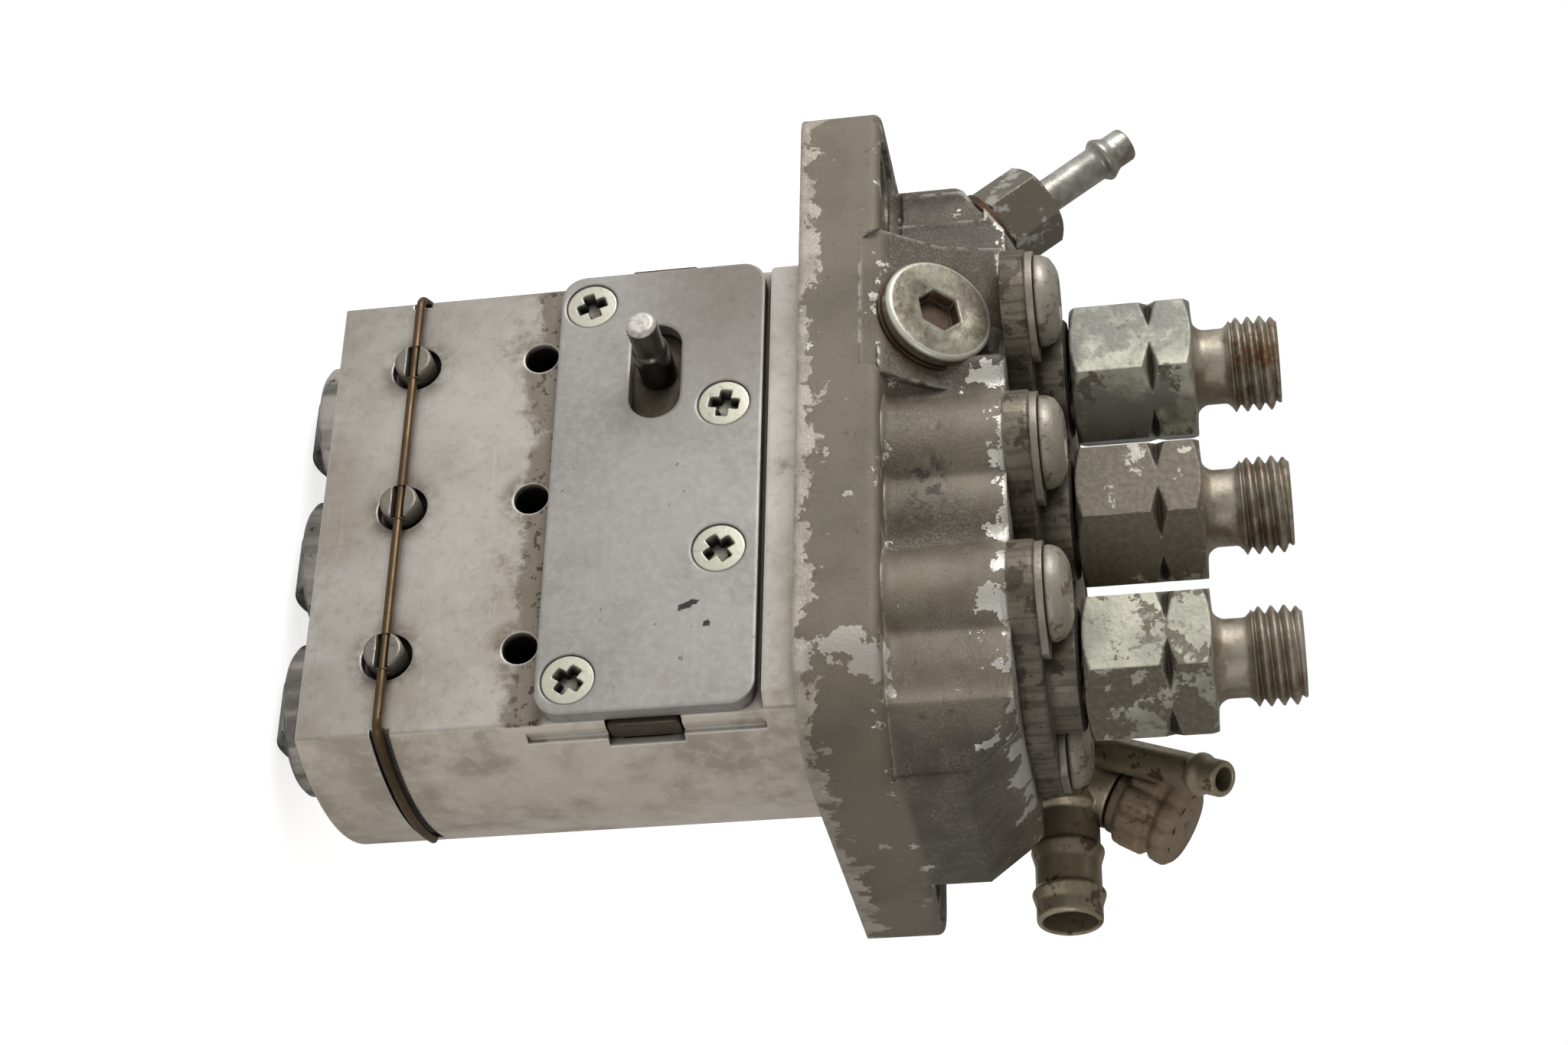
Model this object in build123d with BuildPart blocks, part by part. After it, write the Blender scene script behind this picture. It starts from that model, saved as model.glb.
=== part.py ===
from build123d import *
import math
import os

# Three-cylinder in-line diesel injection pump, millimetres.
# The values are set out from the middle cylinder's axis (x = y = 0) and the flange's
# underside (z = 0). The pieces are written from the seat point on that underside.
# +Z runs up to the injector pipe unions, +X along the cylinder row, -Y is the cover side.

os.makedirs("parts", exist_ok=True)

# Cylinder row
PITCH = 21.0
STATIONS = {"1": -PITCH, "2": 0.0, "3": PITCH}

# Lower block, machined
BLOCK_LENGTH = 61.0
FRONT_Y = 14.5
BLOCK_HALF_WIDTH = 34.8
BLOCK_CORNER_X = 31.4
COLLAR_HEIGHT = 4.4
COLLAR_CHAMFER = 1.4
SIDE_STEP_X = 31.9
SIDE_STEP_Y = -11.9
SIDE_STEP_Z = -33.0

# Flange
FLANGE_THICKNESS = 10.0
FLANGE_LEFT = -51.5
FLANGE_RIGHT = 38.5
FLANGE_FRONT = -22.0
FLANGE_REAR = 40.0
FLANGE_CORNER_R = 4.5
FLANGE_SHOULDER_R = 14.0
FLANGE_EDGE_R = 1.0
SEAT_POINT = (0.0, 27.0, 0.0)
BOLT_R = 4.5
SPOTFACE_R = 6.3
SPOTFACE_DEPTH = 0.6
SPOTFACE_HEIGHT = 1.4
BOLT_HOLES = [(-42.6, -14.4), (-41.5, 31.0), (31.5, 32.5)]

# Upper casting
CASTING_TOP = 24.5
CASTING_FRONT = -15.5
CASTING_REAR = 21.0
CASTING_LEFT = -31.5
CASTING_RIGHT = 32.5
SHOULDER_FRONT = -8.0
SHOULDER_Z = 17.8
SCREW_BULGE_R = 6.3
BARREL_BULGE_R = 6.2

# Barrel clamped on the casting
ELEMENT_R = 8.5
ELEMENT_CLEARANCE = 0.05
ELEMENT_FOOT_Z = 2.0
GUIDE_R = 6.5
GUIDE_END_Z = -18.0
PLATE_THICKNESS = 3.1
PLATE_R = 10.25
SCREW_OFFSET_X = 3.0
SCREW_OFFSET_Y = 13.2
SCREW_LOBE_R = 6.6
BOSS_R = 7.6
BOSS_TOP = 31.5
SCREW_R = 2.5
SCREW_HEAD_R = 5.7
SCREW_HEAD_HEIGHT = 3.0
SCREW_END_Z = 18.5
SHORT_SCREW_END_Z = 24.6
SCREW_SOCKET = 5.0
LOCK_PLATE_THICKNESS = 0.9
LOCK_PLATE_REACH = 7.6

# O-rings on the barrel
RING_LEVELS = (5.0, 19.5)
RING_WIRE_R = 0.6
RING_GROOVE_R = 7.3

# Delivery valve holder
HEX_ACROSS_FLATS = 17.0
HEX_BOTTOM = 32.0
HEX_TOP = 47.1
HEX_CHAMFER = 0.8
NOTCH_Z = 41.9
NOTCH_DEPTH = 1.9
NOTCH_HALF = 1.05
NECK_R = 4.75
THREAD_START = 51.3
HOLDER_TOP = 57.7
THREAD_R = 5.95
SHANK_R = 6.4
SHANK_END = 17.3
CHAMBER_R = 3.4
CHAMBER_TOP = 35.0
OUTLET_BORE_R = 1.25
OUTLET_MOUTH_R = 3.6

# Delivery valve and its seat
SEAT_R = 6.35
SEAT_BOTTOM = 12.9
VALVE_GUIDE_R = 2.5
VALVE_HEAD_R = 3.0
VALVE_HEAD_HEIGHT = 2.0
VALVE_PILOT_R = 1.4
VALVE_SPRING_R = 2.4
VALVE_SPRING_WIRE = 0.6
VALVE_SPRING_TURNS = 7
RUNNING = 0.04

# Plunger and its drive
PLUNGER_R = 3.0
PLUNGER_TOP = 5.5
ARM_Z = -29.0
ARM_HEIGHT = 2.0
ARM_LENGTH = 14.3
ARM_WIDTH = 2.8
PORT_Z = 10.2
PORT_R = 1.2
FOOT_R = 4.0
FOOT_NECK_R = 2.3

# Tappet
TAPPET_R = 9.5
TAPPET_RIM = -BLOCK_LENGTH - 4.3
TAPPET_TOP = TAPPET_RIM + 22.3
TAPPET_CUP_R = 7.6
TAPPET_FLOOR = TAPPET_RIM + 14.3
LEDGE_Z = TAPPET_RIM + 16.7
LEDGE_R = 5.4
POCKET_TOP = TAPPET_RIM + 11.1
ROLLER_R = 7.0
ROLLER_Z = TAPPET_RIM + 3.8
ROLLER_WIDTH = 8.0
ROLLER_GAP = 0.3
ROLLER_PIN_R = 2.25
ROLLER_PIN_LENGTH = 17.4
GUIDE_GROOVE_TOP = TAPPET_RIM + 17.5
GUIDE_GROOVE_END = TAPPET_RIM + 4.7
SPRING_SEAT_Z = -31.7
SPRING_SEAT_THICKNESS = 1.5
SPRING_SEAT_R = 9.35
LOWER_SEAT_R = 7.3
LOWER_SEAT_THICKNESS = 1.8
SPRING_WIRE = 1.5
SPRING_MEAN_R = 6.3
SPRING_TURNS = 3.5

# Tappet guide pins and the wire that holds them in
PIN_Z = TAPPET_RIM + 14.7
PIN_R = 2.4
PIN_TIP_Y = -8.6
PIN_HEAD_Y = -16.6
PIN_RECESS_R = 3.2
PIN_RECESS_DEPTH = 1.6
WIRE_R = 0.6
WIRE_BEND_R = 2.0
WIRE_STANDOFF = 0.25
WIRE_END_Y = 9.4
WIRE_GROOVE_WIDTH = 2.4
WIRE_GROOVE_DEPTH = 0.75
TIMING_HOLE_Z = -34.2
TIMING_HOLE_R = 2.2

# Rack, control sleeves and cover
RACK_Z = -18.8
RACK_HEIGHT = 8.5
RACK_LEFT = -33.5
RACK_RIGHT = 32.0
CHANNEL_LEFT = -32.5
CHANNEL_RIGHT = 32.0
RACK_FRONT = -14.2
RACK_BACK = -11.1
RACK_GAP = 0.3
TEETH_ON_CIRCLE = 22
MODULE = 0.8
TOOTH_WIDTH = 5.0
TOOTH_GAP = 0.5
SECTOR_TEETH = range(-3, 3)
RACK_TEETH = range(-3, 2)
SECTOR_HALF_TOOTH = 0.5
RACK_HALF_TOOTH = 0.54
RACK_PIN_X = -17.0
RACK_PIN_TIP_Y = -25.6
RACK_PIN_STEP_Y = -20.5
RACK_PIN_R = 2.3
RACK_PIN_TIP_R = 1.95
RACK_PIN_STUB_R = 1.5
SLEEVE_R = 7.55
SLEEVE_TOP = -13.0
SLEEVE_BOTTOM = -31.0
SLEEVE_ROOF = -12.5
SLEEVE_WELL_R = 8.6
SLEEVE_SLOT_TOP = -19.3
COVER_WIDTH = 62.8
COVER_BOTTOM = -31.4
COVER_TOP = -5.2
COVER_THICKNESS = 2.15
COVER_CORNER_R = 3.0
COVER_SCREWS = [(-26.9, -27.5), (26.9, -27.5), (-10.4, -10.0), (10.4, -10.0)]
COVER_SCREW_HEAD_R = 3.2
COVER_SCREW_R = 1.75
COVER_SCREW_TIP_Y = -10.3
SLOT_X = -16.0
SLOT_LENGTH = 14.0
SLOT_HEIGHT = 6.5

# Gallery plug on the inclined boss
PLUG_X = -19.8
PLUG_Y = -16.9
PLUG_Z = 15.8
PLUG_LEAN = 57.3
PLUG_HEAD_R = 7.1
PLUG_HEAD_HEIGHT = 2.1
PLUG_WASHER = 0.6
PLUG_WASHER_R = 7.4
PLUG_THREAD_R = 4.0
PLUG_THREAD_LENGTH = 6.5
PLUG_HEX = 5.0
PLUG_BOSS_R = 9.8
PLUG_BOSS_DEPTH = 9.0

# Return union on the left boss
UNION_X = -41.6
UNION_Y = -4.0
UNION_Z = 21.7
UNION_LEAN = 36.0
UNION_BOSS_R = 7.0
UNION_HEX = 10.0
UNION_HEX_LENGTH = 7.9
UNION_PIPE_R = 2.3
UNION_LENGTH = 23.0
UNION_WASHER = 1.0
UNION_WASHER_R = 6.0
UNION_THREAD_R = 4.0
UNION_THREAD_LENGTH = 7.5
UNION_BORE_R = 1.5

# Inlet fitting with its bleed pipe and vent screw
INLET_X = 19.7
INLET_Y = 26.5
INLET_R = 6.5
INLET_BASE = 20.5
INLET_TOP = 31.0
INLET_WASHER = 0.8
INLET_THREAD_R = 4.5
INLET_THREAD_END = 13.0
INLET_BORE_R = 2.5
INLET_BOSS_R = 7.0
BARB_Z = 26.9
BARB_R = 4.15
BARB_BORE_R = 3.4
BARB_END = 42.2
BLEED_MOUTH = (30.9, 12.0, 47.1)
BLEED_DIRECTION = (0.482, -0.478, 0.734)
BLEED_LENGTH = 22.5
BLEED_R = 2.25
BLEED_BORE_R = 1.45
VENT_LEAN = 31.0
VENT_X = 27.3
VENT_Z = 37.2
VENT_R = 5.7
VENT_STEM_R = 2.5

GALLERY_Z = 12.0
GALLERY_LOW = 9.0
GALLERY_HIGH = 15.0
GALLERY_R = 9.6
DRILLING_R = 2.0
SEATED = 0.02
EPS = 0.01

# Values that several pieces share
SIDE_SAG = BLOCK_HALF_WIDTH - BLOCK_CORNER_X
SIDE_R = (FRONT_Y**2 + SIDE_SAG**2) / (2 * SIDE_SAG)
SIDE_CENTRE = BLOCK_HALF_WIDTH - SIDE_R
PLATE_TOP = CASTING_TOP + PLATE_THICKNESS
LOCK_TOP = PLATE_TOP + LOCK_PLATE_THICKNESS
COVER_FACE_Y = -FRONT_Y - COVER_THICKNESS
COVER_MID_Z = (COVER_TOP + COVER_BOTTOM) / 2
PITCH_R = MODULE * TEETH_ON_CIRCLE / 2
TOOTH_STEP = 360 / TEETH_ON_CIRCLE
TOOTH_PITCH = MODULE * math.pi
TIP_R = PITCH_R + MODULE
ROOT_R = PITCH_R - 1.25 * MODULE
SECTOR_WELL_R = TIP_R + 0.15
LOWER_SEAT_TOP = LEDGE_Z + LOWER_SEAT_THICKNESS
UPPER_SEAT_BOTTOM = SPRING_SEAT_Z - SPRING_SEAT_THICKNESS
BORE_R = ELEMENT_R + ELEMENT_CLEARANCE
WIRE_Y = PIN_HEAD_Y + 1.6 - WIRE_R
SCREW_SPOTS = [(-SCREW_OFFSET_X, -SCREW_OFFSET_Y), (SCREW_OFFSET_X, SCREW_OFFSET_Y)]
ALL_SCREWS = [(x + dx, dy, SCREW_END_Z) for x in STATIONS.values() for dx, dy in SCREW_SPOTS]
# The first screw hangs over the gallery plug and ends inside the barrel flange.
ALL_SCREWS[0] = (*ALL_SCREWS[0][:2], SHORT_SCREW_END_Z)


def front(y):
    """Plane facing the cover side at a depth: local x is X, local y is Z."""
    return Plane(origin=(0, y, 0), x_dir=(1, 0, 0), z_dir=(0, -1, 0))


def section(x, y=0.0):
    """Vertical plane through an upright axis: local x is the radius, local y is Z."""
    return Plane(origin=(x, y, 0), x_dir=(1, 0, 0), z_dir=(0, -1, 0))


def level(z, x=0.0, y=0.0):
    """Horizontal plane with its own origin."""
    return Plane(origin=(x, y, z))


def along(origin, direction):
    """Plane for turning about a slanted axis: local x is the radius, local y the axis."""
    axis = Vector(*direction).normalized()
    side = Vector(0, 1, 0) if abs(axis.Y) < 0.5 else Vector(1, 0, 0)
    across = axis.cross(side).normalized()
    return Plane(origin=origin, x_dir=across, z_dir=across.cross(axis))


def across(plane, height, side=None):
    """Plane square to a slanted axis at a height along it."""
    return Plane(
        origin=plane.from_local_coords((0, height, 0)),
        x_dir=side if side else plane.x_dir,
        z_dir=plane.y_dir,
    )


def turned(plane, points, mode=Mode.ADD):
    """Turn a closed outline (radius, height) about the local y axis of a plane."""
    with BuildSketch(plane, mode=Mode.PRIVATE) as profile:
        Polygon(*points, align=None)
    revolve(profile.sketch, axis=Axis(plane.origin, plane.y_dir), mode=mode)


def rod(plane, radius, low, high, mode=Mode.ADD):
    """Round bar along the local y axis of a plane."""
    turned(plane, [(0, low), (radius, low), (radius, high), (0, high)], mode)


def ring(plane, inner, outer, low, high, mode=Mode.ADD):
    """Round tube along the local y axis of a plane."""
    turned(plane, [(inner, low), (outer, low), (outer, high), (inner, high)], mode)


def block(low, high, mode=Mode.ADD):
    """Box between two opposite corners."""
    with BuildSketch(level(low[2]), mode=Mode.PRIVATE) as base:
        with Locations(((low[0] + high[0]) / 2, (low[1] + high[1]) / 2)):
            Rectangle(high[0] - low[0], high[1] - low[1])
    extrude(base.sketch, amount=high[2] - low[2], mode=mode)


def prism(plane, points, amount, mode=Mode.ADD):
    """Polygon on a plane, extruded."""
    with BuildSketch(plane, mode=Mode.PRIVATE) as base:
        Polygon(*points, align=None)
    extrude(base.sketch, amount=amount, mode=mode)


def hexagon(plane, across_flats, amount, mode=Mode.ADD, rotation=0.0):
    """Hexagonal bar or socket standing on a plane."""
    with BuildSketch(plane, mode=Mode.PRIVATE) as base:
        RegularPolygon(across_flats / math.sqrt(3), 6, rotation=rotation)
    extrude(base.sketch, amount=amount, mode=mode)


def element_sketch(x, shrink=0.0):
    """Plan of a barrel flange: the round middle and two screw lobes on a diagonal."""
    with BuildSketch(mode=Mode.PRIVATE) as lobes:
        with Locations((x, 0)):
            Circle(PLATE_R - shrink)
        for spot_x, spot_y in SCREW_SPOTS:
            with Locations((x + spot_x, spot_y)):
                Circle(SCREW_LOBE_R - shrink)
        make_hull()
    return lobes.sketch


def corner_at(x, y):
    """Test for the sketch vertices at one spot."""
    return lambda vertex: abs(vertex.X - x) < 0.1 and abs(vertex.Y - y) < 0.1


def save(piece, name):
    """Write a finished piece, placed from the flange's seat point."""
    placed = piece.part.moved(Location((-SEAT_POINT[0], -SEAT_POINT[1], -SEAT_POINT[2])))
    placed.label = name
    export_step(placed, "parts/" + name + ".step")


plug_axis = (0, -math.sin(math.radians(PLUG_LEAN)), math.cos(math.radians(PLUG_LEAN)))
union_axis = (-math.sin(math.radians(UNION_LEAN)), 0, math.cos(math.radians(UNION_LEAN)))
vent_axis = (math.sin(math.radians(VENT_LEAN)), 0, math.cos(math.radians(VENT_LEAN)))
plug_plane = along((PLUG_X, PLUG_Y, PLUG_Z), plug_axis)
union_plane = along((UNION_X, UNION_Y, UNION_Z), union_axis)
vent_plane = along((VENT_X, INLET_Y, VENT_Z), vent_axis)
bleed_plane = along(BLEED_MOUTH, BLEED_DIRECTION)
barb_plane = along((INLET_X, INLET_Y, BARB_Z), (1, 0, 0))

# Pump body: lower block
with BuildPart() as pump_body:
    with BuildSketch(level(-BLOCK_LENGTH)):
        with BuildLine():
            Line((-BLOCK_CORNER_X, -FRONT_Y), (BLOCK_CORNER_X, -FRONT_Y))
            ThreePointArc(
                (BLOCK_CORNER_X, -FRONT_Y), (BLOCK_HALF_WIDTH, 0), (BLOCK_CORNER_X, FRONT_Y)
            )
            Line((BLOCK_CORNER_X, FRONT_Y), (-BLOCK_CORNER_X, FRONT_Y))
            ThreePointArc(
                (-BLOCK_CORNER_X, FRONT_Y), (-BLOCK_HALF_WIDTH, 0), (-BLOCK_CORNER_X, -FRONT_Y)
            )
        make_face()
    extrude(amount=BLOCK_LENGTH)
    fillet(pump_body.edges().filter_by(Axis.Z), 0.6)
    prism(
        level(-COLLAR_HEIGHT),
        [
            (-BLOCK_CORNER_X, -FRONT_Y + 1.0),
            (-BLOCK_CORNER_X, COVER_FACE_Y + COLLAR_CHAMFER),
            (-BLOCK_CORNER_X + COLLAR_CHAMFER, COVER_FACE_Y),
            (BLOCK_CORNER_X - COLLAR_CHAMFER, COVER_FACE_Y),
            (BLOCK_CORNER_X, COVER_FACE_Y + COLLAR_CHAMFER),
            (BLOCK_CORNER_X, -FRONT_Y + 1.0),
        ],
        COLLAR_HEIGHT + 1.0,
    )

    # Milled step along the front corners, above the guide pins
    for side in (-1, 1):
        block(
            (min(side * SIDE_STEP_X, side * 40), -FRONT_Y - 1, SIDE_STEP_Z),
            (max(side * SIDE_STEP_X, side * 40), SIDE_STEP_Y, -COLLAR_HEIGHT),
            Mode.SUBTRACT,
        )

    # Flange
    with BuildSketch(level(0)) as flange_sketch:
        with Locations(((FLANGE_LEFT + FLANGE_RIGHT) / 2, (FLANGE_FRONT + FLANGE_REAR) / 2)):
            Rectangle(FLANGE_RIGHT - FLANGE_LEFT, FLANGE_REAR - FLANGE_FRONT)
        for corner in (
            (FLANGE_LEFT, FLANGE_FRONT),
            (FLANGE_LEFT, FLANGE_REAR),
            (FLANGE_RIGHT, FLANGE_REAR),
        ):
            fillet(flange_sketch.vertices().filter_by(corner_at(*corner)), FLANGE_CORNER_R)
        fillet(
            flange_sketch.vertices().filter_by(corner_at(FLANGE_RIGHT, FLANGE_FRONT)),
            FLANGE_SHOULDER_R,
        )
    extrude(amount=FLANGE_THICKNESS)
    fillet(
        pump_body.edges().filter_by_position(Axis.Z, FLANGE_THICKNESS - EPS, FLANGE_THICKNESS + EPS),
        FLANGE_EDGE_R,
    )

    # Upper casting with a bulge at every screw and every barrel
    with BuildSketch(level(FLANGE_THICKNESS - 1.5)) as casting_sketch:
        middle = ((CASTING_LEFT + CASTING_RIGHT) / 2, (CASTING_FRONT + CASTING_REAR) / 2)
        with Locations(middle):
            Rectangle(CASTING_RIGHT - CASTING_LEFT, CASTING_REAR - CASTING_FRONT)
        for x in STATIONS.values():
            with Locations((x - SCREW_OFFSET_X, -SCREW_OFFSET_Y)):
                Circle(SCREW_BULGE_R)
            with Locations((x + 5.6, -SCREW_OFFSET_Y + 2.6)):
                Circle(BARREL_BULGE_R)
        with Locations((INLET_X, INLET_Y)):
            Circle(INLET_BOSS_R)
        with Locations((INLET_X, (INLET_Y + CASTING_REAR) / 2 - 3)):
            Rectangle(2 * INLET_BOSS_R, INLET_Y - CASTING_REAR + 6)
        left_web = ((UNION_X + CASTING_LEFT) / 2, UNION_Y)
        with Locations(left_web):
            Rectangle(CASTING_LEFT - UNION_X, 2 * UNION_BOSS_R - 1.0)
        with Locations((UNION_X + 0.2, UNION_Y)):
            Circle(UNION_BOSS_R)
        fillet(casting_sketch.vertices().filter_by(lambda v: v.Y < -10 and abs(v.X) < 30), 1.2)
    extrude(amount=CASTING_TOP - FLANGE_THICKNESS + 1.5)
    prism(
        Plane(origin=(0, CASTING_REAR, 0), x_dir=(1, 0, 0), z_dir=(0, -1, 0)),
        [
            (CASTING_RIGHT - 8, FLANGE_THICKNESS - 2),
            (FLANGE_RIGHT, FLANGE_THICKNESS - 2),
            (FLANGE_RIGHT, SHOULDER_Z),
            (CASTING_RIGHT + 1.6, CASTING_TOP - 1.2),
            (CASTING_RIGHT, CASTING_TOP),
            (CASTING_RIGHT - 8, CASTING_TOP),
        ],
        CASTING_REAR - SHOULDER_FRONT,
    )

    # Bosses: union on the left, plug in front, inlet behind
    with BuildSketch(level(FLANGE_THICKNESS)):
        with Locations((UNION_X + 0.2, UNION_Y)):
            Circle(UNION_BOSS_R)
    extrude(amount=18)
    prism(
        across(union_plane, 0, (0, 1, 0)),
        [(-14, -30), (14, -30), (14, 10), (-14, 10)],
        20,
        Mode.SUBTRACT,
    )
    ring(section(INLET_X, INLET_Y), 0, INLET_BOSS_R + 3, INLET_BASE - INLET_WASHER, 30, Mode.SUBTRACT)
    with BuildSketch(across(plug_plane, 0, (1, 0, 0)), mode=Mode.PRIVATE) as plug_face:
        with BuildLine():
            Polyline((-1.5, 10.3), (-14.3, 10.3), (-11.8, 1.5), (-11.9, -7.0), (-9.5, -9.7))
            Polyline((-9.5, -9.7), (9.0, -9.7), (9.6, -7.0), (PLUG_BOSS_R, 0.0))
            RadiusArc((PLUG_BOSS_R, 0.0), (2.3, 9.6), -PLUG_BOSS_R)
            Line((2.3, 9.6), (-1.5, 10.3))
        make_face()
    extrude(plug_face.sketch, amount=-PLUG_BOSS_DEPTH)
    extrude(plug_face.sketch, amount=14, mode=Mode.SUBTRACT)

    # Holes in the flange
    for x, y in BOLT_HOLES:
        rod(section(x, y), BOLT_R, -1, FLANGE_THICKNESS + 1, Mode.SUBTRACT)
        spot_top = FLANGE_THICKNESS + SPOTFACE_HEIGHT
        rod(section(x, y), SPOTFACE_R, FLANGE_THICKNESS - SPOTFACE_DEPTH, spot_top, Mode.SUBTRACT)
        rod(section(x, y), BOLT_R + 0.3, FLANGE_THICKNESS, FLANGE_THICKNESS + 12, Mode.SUBTRACT)

    # Stepped bore of every cylinder
    for x in STATIONS.values():
        here = section(x)
        rod(here, TAPPET_R + RUNNING, -BLOCK_LENGTH - 1, SPRING_SEAT_Z, Mode.SUBTRACT)
        rod(here, SLEEVE_WELL_R, SPRING_SEAT_Z - 1, SLEEVE_ROOF, Mode.SUBTRACT)
        rod(here, GUIDE_R + ELEMENT_CLEARANCE, SLEEVE_ROOF - 1, ELEMENT_FOOT_Z, Mode.SUBTRACT)
        rod(here, BORE_R, ELEMENT_FOOT_Z - RACK_GAP, CASTING_TOP + 1, Mode.SUBTRACT)
        rod(here, GALLERY_R, GALLERY_LOW, GALLERY_HIGH, Mode.SUBTRACT)
        with BuildSketch(level(SPRING_SEAT_Z - 1), mode=Mode.PRIVATE) as well:
            with Locations((x, 0)):
                Circle(SECTOR_WELL_R)
            with Locations((x, -SECTOR_WELL_R / 2 - 0.4)):
                Rectangle(2 * SECTOR_WELL_R, SECTOR_WELL_R, mode=Mode.INTERSECT)
        top_of_well = RACK_Z + TOOTH_WIDTH / 2 + TOOTH_GAP
        extrude(well.sketch, amount=top_of_well - SPRING_SEAT_Z + 1, mode=Mode.SUBTRACT)
        rod(along((x, 0, PIN_Z), (0, -1, 0)), PIN_R + RUNNING, 7, FRONT_Y + 3, Mode.SUBTRACT)
        mouth = FRONT_Y - PIN_RECESS_DEPTH
        rod(along((x, 0, PIN_Z), (0, -1, 0)), PIN_RECESS_R, mouth, FRONT_Y + 3, Mode.SUBTRACT)
        timing = along((x, 0, TIMING_HOLE_Z), (0, -1, 0))
        rod(timing, TIMING_HOLE_R, 7, FRONT_Y + 3, Mode.SUBTRACT)
    for x, y, end_z in ALL_SCREWS[1:]:
        rod(section(x, y), SCREW_R + SEATED, end_z - 0.4, CASTING_TOP + 1, Mode.SUBTRACT)

    # Rack groove, with a deeper channel for the teeth
    half = RACK_HEIGHT / 2 + RACK_GAP
    tooth_half = TOOTH_WIDTH / 2 + TOOTH_GAP
    block((-45, -FRONT_Y - 1, RACK_Z - half), (45, RACK_BACK + RACK_GAP, RACK_Z + half), Mode.SUBTRACT)
    channel_back = -PITCH_R + MODULE + 0.5
    block(
        (CHANNEL_LEFT, RACK_BACK - 1, RACK_Z - tooth_half),
        (CHANNEL_RIGHT, channel_back, RACK_Z + tooth_half),
        Mode.SUBTRACT,
    )
    for x, z in COVER_SCREWS:
        hole = along((x, 0, z), (0, -1, 0))
        rod(hole, COVER_SCREW_R + SEATED, -COVER_SCREW_TIP_Y - 0.1, FRONT_Y + 1, Mode.SUBTRACT)

    # Groove that the lock wire lies in round both sides
    for side in (-1, 1):
        with BuildSketch(level(PIN_Z - WIRE_GROOVE_WIDTH / 2), mode=Mode.PRIVATE) as groove:
            with Locations((side * SIDE_CENTRE, 0)):
                Circle(SIDE_R + 3)
                Circle(SIDE_R - WIRE_GROOVE_DEPTH, mode=Mode.SUBTRACT)
            with Locations((side * 35, (WIRE_END_Y + 0.8 - FRONT_Y - 2) / 2)):
                Rectangle(16, WIRE_END_Y + 0.8 + FRONT_Y + 2, mode=Mode.INTERSECT)
        extrude(groove.sketch, amount=WIRE_GROOVE_WIDTH, mode=Mode.SUBTRACT)

    # Fuel passages: gallery drilling, plug, union and inlet feeds
    rod(along((-35.8, -2.0, GALLERY_Z), (1, 0, 0)), DRILLING_R, 0, 56, Mode.SUBTRACT)
    rod(plug_plane, PLUG_THREAD_R + SEATED, -PLUG_THREAD_LENGTH - 0.5, 1, Mode.SUBTRACT)
    rod(plug_plane, PLUG_THREAD_R - 1.2, -9.5, 1, Mode.SUBTRACT)
    rod(union_plane, UNION_THREAD_R + SEATED, -UNION_THREAD_LENGTH - 0.5, 1, Mode.SUBTRACT)
    rod(union_plane, DRILLING_R, -11.5, 1, Mode.SUBTRACT)
    inlet_hole = section(INLET_X, INLET_Y)
    rod(inlet_hole, INLET_THREAD_R + SEATED, INLET_THREAD_END - 0.5, 30, Mode.SUBTRACT)
    feed = along((INLET_X, 0, INLET_THREAD_END + 0.4), (0, 1, 0))
    rod(feed, DRILLING_R, 8.0, INLET_Y, Mode.SUBTRACT)
save(pump_body, "pump_body")

# Cover plate over the rack
with BuildPart() as cover_plate:
    with BuildSketch(front(-FRONT_Y)):
        with Locations((0, COVER_MID_Z)):
            RectangleRounded(COVER_WIDTH, COVER_TOP - COVER_BOTTOM, COVER_CORNER_R)
        with Locations((SLOT_X, RACK_Z)):
            SlotOverall(SLOT_LENGTH, SLOT_HEIGHT, mode=Mode.SUBTRACT)
    extrude(amount=COVER_THICKNESS)
    for x, z in COVER_SCREWS:
        sink = along((x, 0, z), (0, -1, 0))
        rod(sink, COVER_SCREW_R + 0.15, FRONT_Y - 1, FRONT_Y + 5, Mode.SUBTRACT)
        turned(
            sink,
            [
                (0, FRONT_Y + 0.5),
                (COVER_SCREW_R + 0.15, FRONT_Y + 0.5),
                (COVER_SCREW_HEAD_R + 0.1, -COVER_FACE_Y - 0.25),
                (COVER_SCREW_HEAD_R + 0.1, -COVER_FACE_Y + 1),
                (0, -COVER_FACE_Y + 1),
            ],
            Mode.SUBTRACT,
        )
save(cover_plate, "cover_plate")

# Countersunk screws of the cover, one solid each
with BuildPart() as cover_screws:
    for x, z in COVER_SCREWS:
        sink = along((x, 0, z), (0, -1, 0))
        turned(
            sink,
            [
                (0, -COVER_SCREW_TIP_Y),
                (COVER_SCREW_R, -COVER_SCREW_TIP_Y),
                (COVER_SCREW_R, FRONT_Y + 0.65),
                (COVER_SCREW_HEAD_R, -COVER_FACE_Y - 0.2),
                (COVER_SCREW_HEAD_R, -COVER_FACE_Y),
                (0, -COVER_FACE_Y),
            ],
        )
        for angle in (45, 135):
            with BuildSketch(across(sink, -COVER_FACE_Y - 1.1), mode=Mode.PRIVATE) as wing:
                Rectangle(4.0, 1.0, rotation=angle)
            extrude(wing.sketch, amount=3, mode=Mode.SUBTRACT)
save(cover_screws, "cover_screws")

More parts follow.
